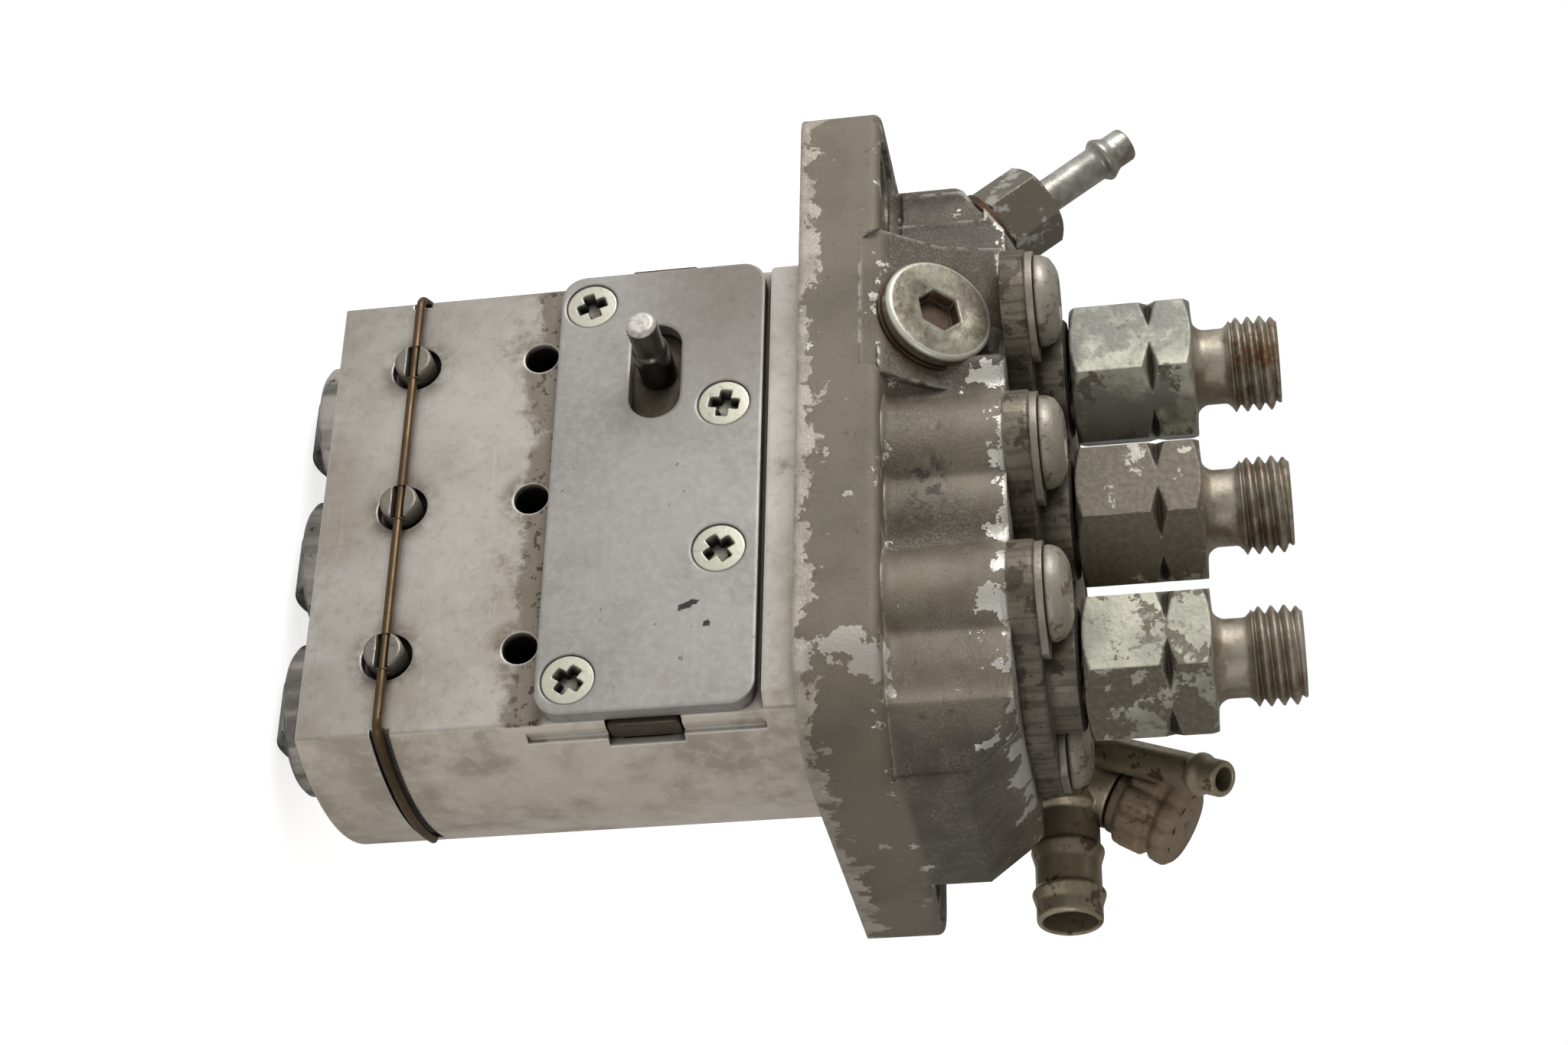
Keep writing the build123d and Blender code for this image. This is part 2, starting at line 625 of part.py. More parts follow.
# Control rack with a group of teeth for every sleeve
with BuildPart() as control_rack:
    block(
        (RACK_LEFT, RACK_FRONT, RACK_Z - RACK_HEIGHT / 2),
        (RACK_RIGHT, RACK_BACK, RACK_Z + RACK_HEIGHT / 2),
    )
    chamfer(control_rack.edges().filter_by(Axis.X), 0.3)
    for x in STATIONS.values():
        start = x + (RACK_TEETH[0] - 0.05) * TOOTH_PITCH
        end = x + (RACK_TEETH[-1] + 1.05) * TOOTH_PITCH
        block(
            (start, RACK_BACK - 0.5, RACK_Z - TOOTH_WIDTH / 2),
            (end, -PITCH_R - 1.25 * MODULE, RACK_Z + TOOTH_WIDTH / 2),
        )
        for tooth in RACK_TEETH:
            centre = x + (tooth + 0.5) * TOOTH_PITCH
            spread = math.tan(math.radians(20))
            root = RACK_HALF_TOOTH + 1.25 * MODULE * spread
            tip = RACK_HALF_TOOTH - MODULE * spread
            prism(
                level(RACK_Z - TOOTH_WIDTH / 2),
                [
                    (centre - root, -PITCH_R - 1.25 * MODULE - 0.05),
                    (centre + root, -PITCH_R - 1.25 * MODULE - 0.05),
                    (centre + tip, -PITCH_R + MODULE),
                    (centre - tip, -PITCH_R + MODULE),
                ],
                TOOTH_WIDTH,
            )
    pin_hole = along((RACK_PIN_X, 0, RACK_Z), (0, -1, 0))
    rod(pin_hole, RACK_PIN_STUB_R + SEATED, -RACK_BACK - 1.5, -RACK_FRONT + 1, Mode.SUBTRACT)
save(control_rack, "control_rack")

# Pin that carries the rack through the slot of the cover
with BuildPart() as rack_pin:
    turned(
        along((RACK_PIN_X, 0, RACK_Z), (0, -1, 0)),
        [
            (0, -RACK_BACK - 1.0),
            (RACK_PIN_STUB_R, -RACK_BACK - 1.0),
            (RACK_PIN_STUB_R, -RACK_FRONT),
            (RACK_PIN_R, -RACK_FRONT),
            (RACK_PIN_R, -RACK_PIN_STEP_Y - 0.35),
            (RACK_PIN_TIP_R, -RACK_PIN_STEP_Y),
            (RACK_PIN_TIP_R, -RACK_PIN_TIP_Y - 0.5),
            (RACK_PIN_TIP_R - 0.5, -RACK_PIN_TIP_Y),
            (0, -RACK_PIN_TIP_Y),
        ],
    )
save(rack_pin, "rack_pin")

# Pins that keep the tappets from turning, slotted for the wire
with BuildPart() as guide_pins:
    for x in STATIONS.values():
        turned(
            along((x, 0, PIN_Z), (0, -1, 0)),
            [
                (0, -PIN_TIP_Y),
                (PIN_R, -PIN_TIP_Y),
                (PIN_R, -PIN_HEAD_Y - 0.25),
                (PIN_R - 0.25, -PIN_HEAD_Y),
                (0, -PIN_HEAD_Y),
            ],
        )
        slot_low = PIN_Z - WIRE_R - 0.1
        slot_high = PIN_Z + WIRE_R + 0.1
        block((x - 4, PIN_HEAD_Y - 1, slot_low), (x + 4, WIRE_Y + WIRE_R, slot_high), Mode.SUBTRACT)
save(guide_pins, "guide_pins")

# Wire across the pins and round both sides of the block
wire_circle = SIDE_R + WIRE_STANDOFF
bend_y = WIRE_Y + WIRE_BEND_R
bend_x = SIDE_CENTRE + math.sqrt((wire_circle - WIRE_BEND_R) ** 2 - bend_y**2)
bend_angle = math.degrees(math.atan2(bend_y, bend_x - SIDE_CENTRE))
end_angle = math.degrees(math.asin(WIRE_END_Y / wire_circle))
with BuildPart() as lock_wire:
    with BuildLine(level(PIN_Z)) as wire_path:
        CenterArc((SIDE_CENTRE, 0), wire_circle, bend_angle, end_angle - bend_angle)
        CenterArc((bend_x, bend_y), WIRE_BEND_R, -90, 90 + bend_angle)
        Line((-bend_x, WIRE_Y), (bend_x, WIRE_Y))
        CenterArc((-bend_x, bend_y), WIRE_BEND_R, -90, -90 - bend_angle)
        CenterArc((-SIDE_CENTRE, 0), wire_circle, 180 - bend_angle, bend_angle - end_angle)
    wire_start = (
        SIDE_CENTRE + wire_circle * math.cos(math.radians(end_angle)),
        WIRE_END_Y,
        PIN_Z,
    )
    start_tangent = (-math.sin(math.radians(end_angle)), math.cos(math.radians(end_angle)), 0)
    with BuildSketch(Plane(origin=wire_start, z_dir=start_tangent)):
        Circle(WIRE_R)
    sweep(path=wire_path.wires()[0])
save(lock_wire, "lock_wire")

# Lock plates under the barrel screws, one solid each
with BuildPart() as lock_plates:
    for x in STATIONS.values():
        for dx, dy in SCREW_SPOTS:
            with BuildSketch(level(PLATE_TOP)):
                with Locations((x + dx, dy)):
                    Circle(LOCK_PLATE_REACH)
                add(element_sketch(x, 0.35), mode=Mode.INTERSECT)
                with Locations((x, 0)):
                    Circle(BOSS_R + 0.5, mode=Mode.SUBTRACT)
                with Locations((x + dx, dy)):
                    Circle(SCREW_R + 0.2, mode=Mode.SUBTRACT)
            extrude(amount=LOCK_PLATE_THICKNESS)
save(lock_plates, "lock_plates")

# Screws that clamp the barrels, one solid each
with BuildPart() as barrel_screws:
    for x, y, end_z in ALL_SCREWS:
        turned(
            section(x, y),
            [
                (0, end_z),
                (SCREW_R, end_z),
                (SCREW_R, LOCK_TOP),
                (SCREW_HEAD_R, LOCK_TOP),
                (SCREW_HEAD_R, LOCK_TOP + SCREW_HEAD_HEIGHT * 0.45),
                (SCREW_HEAD_R * 0.86, LOCK_TOP + SCREW_HEAD_HEIGHT * 0.8),
                (SCREW_HEAD_R * 0.62, LOCK_TOP + SCREW_HEAD_HEIGHT),
                (0, LOCK_TOP + SCREW_HEAD_HEIGHT),
            ],
        )
        socket_floor = LOCK_TOP + SCREW_HEAD_HEIGHT - 2.2
        hexagon(level(socket_floor, x, y), SCREW_SOCKET, 3, Mode.SUBTRACT)
        for other in STATIONS.values():
            ring(section(other), 0, BOSS_R + 0.15, PLATE_TOP, BOSS_TOP + 2, Mode.SUBTRACT)
save(barrel_screws, "barrel_screws")

# O-rings of the barrels, one solid each
with BuildPart() as barrel_o_rings:
    for x in STATIONS.values():
        for z in RING_LEVELS:
            with BuildSketch(section(x)) as ring_section:
                with Locations((RING_GROOVE_R + RING_WIRE_R, z)):
                    Circle(RING_WIRE_R)
            revolve(axis=Axis((x, 0, 0), (0, 0, 1)))
save(barrel_o_rings, "barrel_o_rings")

# Gallery plug and its copper washer
with BuildPart() as gallery_plug:
    turned(
        plug_plane,
        [
            (0, -PLUG_THREAD_LENGTH),
            (PLUG_THREAD_R, -PLUG_THREAD_LENGTH),
            (PLUG_THREAD_R, PLUG_WASHER),
            (PLUG_HEAD_R, PLUG_WASHER),
            (PLUG_HEAD_R, PLUG_WASHER + PLUG_HEAD_HEIGHT - 0.5),
            (PLUG_HEAD_R - 0.5, PLUG_WASHER + PLUG_HEAD_HEIGHT),
            (0, PLUG_WASHER + PLUG_HEAD_HEIGHT),
        ],
    )
    hexagon(across(plug_plane, -1.6, (1, 0, 0)), PLUG_HEX, 6, Mode.SUBTRACT)
save(gallery_plug, "gallery_plug")

with BuildPart() as plug_washer:
    ring(plug_plane, PLUG_THREAD_R + 0.1, PLUG_WASHER_R, 0, PLUG_WASHER)
save(plug_washer, "plug_washer")

# Return union and its washer
with BuildPart() as overflow_union:
    hexagon(across(union_plane, UNION_WASHER, (0, 1, 0)), UNION_HEX, UNION_HEX_LENGTH)
    corner_r = UNION_HEX / math.sqrt(3)
    low = UNION_WASHER
    high = UNION_WASHER + UNION_HEX_LENGTH
    turned(
        union_plane,
        [
            (0, low),
            (corner_r - 0.6, low),
            (corner_r, low + 0.35),
            (corner_r, high - 0.5),
            (corner_r - 0.9, high),
            (0, high),
        ],
        Mode.INTERSECT,
    )
    turned(
        union_plane,
        [
            (0, -UNION_THREAD_LENGTH),
            (UNION_THREAD_R, -UNION_THREAD_LENGTH),
            (UNION_THREAD_R, low),
            (UNION_PIPE_R, low + 0.5),
            (UNION_PIPE_R, UNION_LENGTH - 5.0),
            (UNION_PIPE_R + 0.7, UNION_LENGTH - 4.3),
            (UNION_PIPE_R + 0.7, UNION_LENGTH - 3.9),
            (UNION_PIPE_R, UNION_LENGTH - 2.6),
            (UNION_PIPE_R, UNION_LENGTH - 0.4),
            (UNION_PIPE_R - 0.3, UNION_LENGTH),
            (0, UNION_LENGTH),
        ],
    )
    rod(union_plane, UNION_BORE_R, -UNION_THREAD_LENGTH - 1, UNION_LENGTH + 1, Mode.SUBTRACT)
save(overflow_union, "overflow_union")

with BuildPart() as union_washer:
    ring(union_plane, UNION_THREAD_R + 0.1, UNION_WASHER_R, 0, UNION_WASHER)
save(union_washer, "union_washer")

# Inlet union: upright body, inlet barb, bleed pipe and the seat of the vent screw
with BuildPart() as inlet_union:
    upright = section(INLET_X, INLET_Y)
    turned(
        upright,
        [
            (0, INLET_THREAD_END),
            (INLET_THREAD_R, INLET_THREAD_END),
            (INLET_THREAD_R, INLET_BASE),
            (INLET_R, INLET_BASE),
            (INLET_R, INLET_TOP - 1.5),
            (INLET_R - 1.5, INLET_TOP),
            (0, INLET_TOP),
        ],
    )
    rod(vent_plane, 4.6, -15.0, -4.2)
    reach = BARB_END - INLET_X
    turned(
        barb_plane,
        [
            (0, 0),
            (BARB_R + 0.9, 0),
            (BARB_R + 0.9, 7.6),
            (BARB_R, 8.2),
            (BARB_R, reach - 10.2),
            (BARB_R + 0.55, reach - 9.7),
            (BARB_R, reach - 7.8),
            (BARB_R, reach - 4.4),
            (BARB_R + 0.55, reach - 3.9),
            (BARB_R, reach - 2.2),
            (BARB_R, reach - 0.4),
            (BARB_R - 0.4, reach),
            (0, reach),
        ],
    )
    turned(
        bleed_plane,
        [
            (0, -BLEED_LENGTH),
            (BLEED_R, -BLEED_LENGTH),
            (BLEED_R, -4.6),
            (BLEED_R + 0.4, -4.1),
            (BLEED_R + 0.4, -3.5),
            (BLEED_R, -2.6),
            (BLEED_R, -0.3),
            (BLEED_R - 0.3, 0),
            (0, 0),
        ],
    )
    rod(bleed_plane, BLEED_BORE_R, -BLEED_LENGTH + 1, 1, Mode.SUBTRACT)
    rod(barb_plane, BARB_BORE_R, 0, reach + 1, Mode.SUBTRACT)
    rod(upright, INLET_BORE_R, INLET_THREAD_END - 1, BARB_Z, Mode.SUBTRACT)
    rod(vent_plane, VENT_STEM_R + 0.05, -10.4, -4, Mode.SUBTRACT)
    rod(vent_plane, 1.0, -14.5, -4, Mode.SUBTRACT)
save(inlet_union, "inlet_union")

with BuildPart() as inlet_washer:
    ring(
        section(INLET_X, INLET_Y),
        INLET_THREAD_R + 0.1,
        INLET_BOSS_R - 0.3,
        INLET_BASE - INLET_WASHER,
        INLET_BASE,
    )
save(inlet_washer, "inlet_washer")

# Vent screw with a fluted head
with BuildPart() as vent_knob:
    turned(
        vent_plane,
        [
            (0, -10.0),
            (VENT_STEM_R, -10.0),
            (VENT_STEM_R, -3.9),
            (4.7, -3.9),
            (4.7, -2.4),
            (VENT_R - 0.4, -2.4),
            (VENT_R, -2.0),
            (VENT_R, 1.2),
            (VENT_R - 0.7, 1.7),
            (VENT_R - 0.7, 2.5),
            (VENT_R, 3.0),
            (VENT_R, 4.4),
            (VENT_R - 1.0, 5.4),
            (0, 5.8),
        ],
    )
    with BuildSketch(across(vent_plane, -2.5), mode=Mode.PRIVATE) as flutes:
        with PolarLocations(VENT_R + 0.75, 10):
            Circle(1.3)
    extrude(flutes.sketch, amount=9, mode=Mode.SUBTRACT)
save(vent_knob, "vent_knob")

# Pieces that every cylinder has
for tag, x in STATIONS.items():
    here = section(x)

    with BuildPart() as plunger_barrel:
        extrude(Plane(origin=(0, 0, CASTING_TOP)) * element_sketch(x), amount=PLATE_THICKNESS)
        fillet(
            plunger_barrel.edges().filter_by_position(Axis.Z, PLATE_TOP - EPS, PLATE_TOP + EPS), 0.5
        )
        turned(
            here,
            [
                (0, GUIDE_END_Z),
                (GUIDE_R, GUIDE_END_Z),
                (GUIDE_R, ELEMENT_FOOT_Z),
                (ELEMENT_R, ELEMENT_FOOT_Z),
                (ELEMENT_R, CASTING_TOP + 1),
                (BOSS_R, CASTING_TOP + 1),
                (BOSS_R, BOSS_TOP - 0.4),
                (BOSS_R - 0.4, BOSS_TOP),
                (0, BOSS_TOP),
            ],
        )
        for z in RING_LEVELS:
            ring(here, RING_GROOVE_R, ELEMENT_R + 1, z - 0.9, z + 0.9, Mode.SUBTRACT)
        rod(here, SHANK_R + 0.05, SEAT_BOTTOM, BOSS_TOP + 1, Mode.SUBTRACT)
        rod(here, PLUNGER_R + RUNNING, GUIDE_END_Z - 1, SEAT_BOTTOM + 1, Mode.SUBTRACT)
        rod(along((x, 0, PORT_Z), (1, 0, 0)), PORT_R, -ELEMENT_R - 1, ELEMENT_R + 1, Mode.SUBTRACT)
        for dx, dy in SCREW_SPOTS:
            rod(section(x + dx, dy), SCREW_R + 0.2, CASTING_TOP - 1, PLATE_TOP + 1, Mode.SUBTRACT)
    save(plunger_barrel, "plunger_barrel_" + tag)

    with BuildPart() as valve_holder:
        hexagon(level(HEX_BOTTOM, x), HEX_ACROSS_FLATS, HEX_TOP - HEX_BOTTOM)
        corner_r = HEX_ACROSS_FLATS / math.sqrt(3)
        turned(
            here,
            [
                (0, HEX_BOTTOM),
                (corner_r - 1.3, HEX_BOTTOM),
                (corner_r, HEX_BOTTOM + HEX_CHAMFER),
                (corner_r, HEX_TOP - HEX_CHAMFER),
                (corner_r - 1.3, HEX_TOP),
                (0, HEX_TOP),
            ],
            Mode.INTERSECT,
        )
        for step in range(6):
            turn = math.radians(60 * step)
            out = Vector(math.cos(turn), math.sin(turn), 0)
            corner_plane = Plane(
                origin=(x - 6 * math.sin(turn), 6 * math.cos(turn), NOTCH_Z),
                x_dir=out,
                z_dir=(math.sin(turn), -math.cos(turn), 0),
            )
            prism(
                corner_plane,
                [
                    (corner_r - NOTCH_DEPTH, 0),
                    (corner_r + 0.4, NOTCH_HALF * 1.2),
                    (corner_r + 0.4, -NOTCH_HALF * 1.2),
                ],
                12,
                Mode.SUBTRACT,
            )
        turned(
            here,
            [
                (0, SHANK_END),
                (SHANK_R, SHANK_END),
                (SHANK_R, HEX_BOTTOM + 1),
                (NECK_R, HEX_BOTTOM + 1),
                (NECK_R, THREAD_START - 0.1),
                (THREAD_R, THREAD_START + 0.5),
                (THREAD_R, HOLDER_TOP - 0.9),
                (THREAD_R - 0.9, HOLDER_TOP),
                (0, HOLDER_TOP),
            ],
        )
        rod(here, CHAMBER_R, SHANK_END - 1, CHAMBER_TOP, Mode.SUBTRACT)
        mouth = (OUTLET_MOUTH_R - OUTLET_BORE_R) / math.tan(math.radians(30))
        turned(
            here,
            [
                (0, CHAMBER_TOP - 1),
                (OUTLET_BORE_R, CHAMBER_TOP - 1),
                (OUTLET_BORE_R, HOLDER_TOP - mouth),
                (OUTLET_MOUTH_R, HOLDER_TOP),
                (OUTLET_MOUTH_R, HOLDER_TOP + 1),
                (0, HOLDER_TOP + 1),
            ],
            Mode.SUBTRACT,
        )
    save(valve_holder, "valve_holder_" + tag)

    with BuildPart() as valve_seat:
        turned(
            here,
            [
                (VALVE_GUIDE_R, SEAT_BOTTOM),
                (SEAT_R, SEAT_BOTTOM),
                (SEAT_R, SHANK_END),
                (VALVE_HEAD_R + 0.1, SHANK_END),
                (VALVE_GUIDE_R, SHANK_END - 0.6),
            ],
        )
    save(valve_seat, "valve_seat_" + tag)

    with BuildPart() as delivery_valve:
        stem = VALVE_GUIDE_R - RUNNING
        turned(
            here,
            [
                (0, SEAT_BOTTOM + 0.4),
                (stem, SEAT_BOTTOM + 0.4),
                (stem, SHANK_END - 0.5),
                (VALVE_HEAD_R, SHANK_END + 0.1),
                (VALVE_HEAD_R, SHANK_END + VALVE_HEAD_HEIGHT),
                (VALVE_PILOT_R, SHANK_END + VALVE_HEAD_HEIGHT),
                (VALVE_PILOT_R, SHANK_END + VALVE_HEAD_HEIGHT + 2.4),
                (0, SHANK_END + VALVE_HEAD_HEIGHT + 2.4),
            ],
        )
        with BuildSketch(level(SEAT_BOTTOM, x), mode=Mode.PRIVATE) as valve_flutes:
            with PolarLocations(stem + 0.6, 4):
                Circle(1.2)
        extrude(valve_flutes.sketch, amount=SHANK_END - 1.4 - SEAT_BOTTOM, mode=Mode.SUBTRACT)
    save(delivery_valve, "delivery_valve_" + tag)

    # Coil springs, trimmed flat at both ends
    spring_list = [
        (
            "valve_spring_",
            SHANK_END + VALVE_HEAD_HEIGHT,
            CHAMBER_TOP,
            VALVE_SPRING_R,
            VALVE_SPRING_WIRE,
            VALVE_SPRING_TURNS,
        ),
        (
            "plunger_spring_",
            LOWER_SEAT_TOP,
            UPPER_SEAT_BOTTOM,
            SPRING_MEAN_R,
            SPRING_WIRE,
            SPRING_TURNS,
        ),
    ]
    for name, low, high, mean, wire, turns in spring_list:
        span = high - low - 0.5 * wire
        with BuildPart() as coil:
            with BuildLine() as helix:
                Helix(span / turns, span, mean, center=(x, 0, low + 0.25 * wire))
            with BuildSketch(Plane(origin=helix.line @ 0, z_dir=helix.line % 0)):
                Circle(wire / 2)
            sweep(path=helix.line, is_frenet=True)
            rod(here, mean + 3, low, high, Mode.INTERSECT)
        save(coil, name + tag)

    with BuildPart() as plunger:
        turned(
            here,
            [
                (0, TAPPET_FLOOR + 0.1),
                (FOOT_R, TAPPET_FLOOR + 0.1),
                (FOOT_R, LEDGE_Z - 0.1),
                (FOOT_NECK_R, LEDGE_Z - 0.1),
                (FOOT_NECK_R, LOWER_SEAT_TOP + 0.8),
                (PLUNGER_R, LOWER_SEAT_TOP + 0.8),
                (PLUNGER_R, PLUNGER_TOP - 0.15),
                (PLUNGER_R - 0.15, PLUNGER_TOP),
                (0, PLUNGER_TOP),
            ],
        )
        block(
            (x - ARM_LENGTH / 2, -ARM_WIDTH / 2, ARM_Z),
            (x + ARM_LENGTH / 2, ARM_WIDTH / 2, ARM_Z + ARM_HEIGHT),
        )
        with BuildLine() as edge:
            Helix(34, 9, PLUNGER_R, center=(x, 0, -6.5))
        with BuildSketch(Plane(origin=edge.line @ 0, z_dir=edge.line % 0)):
            Circle(0.7)
        sweep(path=edge.line, is_frenet=True, mode=Mode.SUBTRACT)
        block((x + PLUNGER_R - 0.6, -0.6, -6.5), (x + PLUNGER_R + 1, 0.6, 6.0), Mode.SUBTRACT)
    save(plunger, "plunger_" + tag)

    with BuildPart() as control_sleeve:
        ring(here, GUIDE_R + RUNNING, SLEEVE_R, SLEEVE_BOTTOM, SLEEVE_TOP)
        for tooth in SECTOR_TEETH:
            angle = math.radians(tooth * TOOTH_STEP - 90)
            tooth_plane = Plane(
                origin=(x, 0, RACK_Z - TOOTH_WIDTH / 2),
                x_dir=(math.cos(angle), math.sin(angle), 0),
                z_dir=(0, 0, 1),
            )
            prism(
                tooth_plane,
                [
                    (SLEEVE_R - 0.5, -SECTOR_HALF_TOOTH - 0.28),
                    (ROOT_R, -SECTOR_HALF_TOOTH - 0.18),
                    (PITCH_R, -SECTOR_HALF_TOOTH),
                    (TIP_R, -0.18),
                    (TIP_R, 0.18),
                    (PITCH_R, SECTOR_HALF_TOOTH),
                    (ROOT_R, SECTOR_HALF_TOOTH + 0.18),
                    (SLEEVE_R - 0.5, SECTOR_HALF_TOOTH + 0.28),
                ],
                TOOTH_WIDTH,
            )
        slot_half = ARM_WIDTH / 2 + 0.1
        block((x - 12, -slot_half, SLEEVE_BOTTOM - 1), (x + 12, slot_half, SLEEVE_SLOT_TOP), Mode.SUBTRACT)
    save(control_sleeve, "control_sleeve_" + tag)

    with BuildPart() as upper_spring_seat:
        ring(here, FOOT_R + 0.3, SPRING_SEAT_R, UPPER_SEAT_BOTTOM, SPRING_SEAT_Z)
    save(upper_spring_seat, "upper_spring_seat_" + tag)

    with BuildPart() as lower_spring_seat:
        rod(here, LOWER_SEAT_R, LEDGE_Z, LOWER_SEAT_TOP)
        rod(here, FOOT_NECK_R + 0.3, LEDGE_Z - 1, LOWER_SEAT_TOP + 1, Mode.SUBTRACT)
        neck_gap = FOOT_NECK_R + 0.3
        block(
            (x - neck_gap, 0, LEDGE_Z - 1),
            (x + neck_gap, LOWER_SEAT_R + 1, LOWER_SEAT_TOP + 1),
            Mode.SUBTRACT,
        )
    save(lower_spring_seat, "lower_spring_seat_" + tag)

    with BuildPart() as tappet:
        turned(
            here,
            [
                (0, TAPPET_RIM),
                (TAPPET_R - 0.5, TAPPET_RIM),
                (TAPPET_R, TAPPET_RIM + 0.5),
                (TAPPET_R, TAPPET_TOP - 0.4),
                (TAPPET_R - 0.4, TAPPET_TOP),
                (TAPPET_CUP_R, TAPPET_TOP),
                (TAPPET_CUP_R, LEDGE_Z),
                (LEDGE_R, LEDGE_Z),
                (LEDGE_R, TAPPET_FLOOR),
                (0, TAPPET_FLOOR),
            ],
        )
        pocket_x = ROLLER_WIDTH / 2 + ROLLER_GAP
        pocket_y = ROLLER_R + ROLLER_GAP
        block((x - pocket_x, -pocket_y, TAPPET_RIM - 1), (x + pocket_x, pocket_y, POCKET_TOP), Mode.SUBTRACT)
        pin_axis = along((x, 0, ROLLER_Z), (1, 0, 0))
        rod(pin_axis, ROLLER_PIN_R + SEATED, -12, 12, Mode.SUBTRACT)
        block(
            (x - PIN_R - 0.1, -TAPPET_R - 1, GUIDE_GROOVE_END),
            (x + PIN_R + 0.1, PIN_TIP_Y + 0.3, GUIDE_GROOVE_TOP),
            Mode.SUBTRACT,
        )
    save(tappet, "tappet_" + tag)

    with BuildPart() as tappet_roller:
        turned(
            pin_axis,
            [
                (ROLLER_PIN_R + RUNNING, -ROLLER_WIDTH / 2),
                (ROLLER_R - 0.3, -ROLLER_WIDTH / 2),
                (ROLLER_R, -ROLLER_WIDTH / 2 + 0.3),
                (ROLLER_R, ROLLER_WIDTH / 2 - 0.3),
                (ROLLER_R - 0.3, ROLLER_WIDTH / 2),
                (ROLLER_PIN_R + RUNNING, ROLLER_WIDTH / 2),
            ],
        )
    save(tappet_roller, "tappet_roller_" + tag)

    with BuildPart() as roller_pin:
        rod(pin_axis, ROLLER_PIN_R, -ROLLER_PIN_LENGTH / 2, ROLLER_PIN_LENGTH / 2)
    save(roller_pin, "roller_pin_" + tag)
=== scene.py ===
import math

import bmesh
import bpy
import numpy as np
from bpy.props import FloatProperty, FloatVectorProperty, IntProperty, PointerProperty
from mathutils import Matrix


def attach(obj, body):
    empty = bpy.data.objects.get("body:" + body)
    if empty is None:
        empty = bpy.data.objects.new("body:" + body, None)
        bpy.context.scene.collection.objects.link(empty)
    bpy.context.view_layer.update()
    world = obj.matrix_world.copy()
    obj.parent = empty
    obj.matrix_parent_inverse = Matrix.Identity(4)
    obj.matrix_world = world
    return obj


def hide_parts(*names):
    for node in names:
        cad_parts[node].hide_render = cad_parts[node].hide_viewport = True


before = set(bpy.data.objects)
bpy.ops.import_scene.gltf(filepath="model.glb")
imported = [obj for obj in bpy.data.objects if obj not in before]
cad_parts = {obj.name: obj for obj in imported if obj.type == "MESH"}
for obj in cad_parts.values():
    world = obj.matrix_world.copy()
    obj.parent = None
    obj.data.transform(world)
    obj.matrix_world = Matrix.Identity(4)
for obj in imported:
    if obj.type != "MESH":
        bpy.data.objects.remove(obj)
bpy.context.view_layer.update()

bl_info = {
    "name": "Diesel injection pump",
    "version": (1, 0, 0),
    "blender": (4, 5, 0),
    "location": "3D View > Sidebar > Injection pump",
    "description": "Dresses the three-cylinder injection pump and sets its studio",
    "category": "Object",
}

# Pieces are set out in millimetres from the middle cylinder's axis and written in metres from
# the seat point on the flange's underside. Numbers in the finishes are metres.
SEAT_Y = 27.0
STATIONS = {"1": -21.0, "2": 0.0, "3": 21.0}
CASTING_TOP = 24.5
LOCK_TOP = 28.5
COVER_FACE_Y = -16.65
# X, Z and the turn of the cross recess in degrees
COVER_SCREWS = [(-26.9, -27.5, 20), (26.9, -27.5, 55), (-10.4, -10.0, 80), (10.4, -10.0, 35)]
BLOCK_FRONT_Y = -16.6
PITCH = 0.021
HOLES_Z = -0.0342
PIN_Z = -50.6
RACK_Z = -18.8


def length_setting(name, description, default):
    """Length setting, in metres."""
    return FloatProperty(name=name, description=description, default=default, unit="LENGTH")


def colour_setting(name, description, default):
    """Colour setting."""
    return FloatVectorProperty(name=name, description=description, default=default, subtype="COLOR")


class PumpSizes(bpy.types.PropertyGroup):
    """Sizes of the surface detail that the solids leave out."""

    thread_pitch: length_setting("Thread pitch", "Pitch of the pipe thread", 0.0015)
    thread_depth: length_setting("Thread depth", "Depth of the pipe thread", 0.00088)
    round_edge: length_setting("Rounded edge", "Radius on the casting's edges", 0.0011)
    crisp_edge: length_setting("Crisp edge", "Radius on machined edges", 0.0005)
    recess_depth: length_setting("Recess depth", "Depth of the cross recess", 0.0017)
    round_steps: IntProperty(
        name="Steps round", description="Points round a turned piece", default=144, min=24
    )


class PumpColours(bpy.types.PropertyGroup):
    """Colours of the finishes."""

    aluminium: colour_setting("Aluminium", "Machined block", (0.465, 0.44, 0.40))
    paint: colour_setting("Paint", "Paint on the casting", (0.165, 0.138, 0.098))
    bare: colour_setting("Bare metal", "Metal under the paint", (0.52, 0.50, 0.45))
    holder: colour_setting("Holder", "Valve holders", (0.40, 0.39, 0.31))
    # The grime colour: oil and dirt, and also painted shade in corners.
    grime: colour_setting("Grime", "Oil and dirt in corners", (0.045, 0.032, 0.02))
    rust: colour_setting("Rust", "Rust on steel", (0.13, 0.065, 0.03))


def unit(v):
    """The same direction with length one."""
    v = np.asarray(v, float)
    return v / np.linalg.norm(v)


def frame_along(origin, axis, side):
    """Origin and a 3 x 3 matrix whose columns are side, axis x side and axis."""
    w = unit(axis)
    u = unit(np.asarray(side, float) - w * np.dot(side, w))
    return np.asarray(origin, float), np.stack([u, np.cross(w, u), w], axis=1)


def upright(x, y=0.0, z=0.0):
    """Frame of a piece that stands on Z."""
    return frame_along((x, y, z), (0, 0, 1), (1, 0, 0))


def leaning(degrees, x, y):
    """Axis that leans from Z towards a direction (x, y)."""
    lean = math.radians(degrees)
    return (x * math.sin(lean), y * math.sin(lean), math.cos(lean))


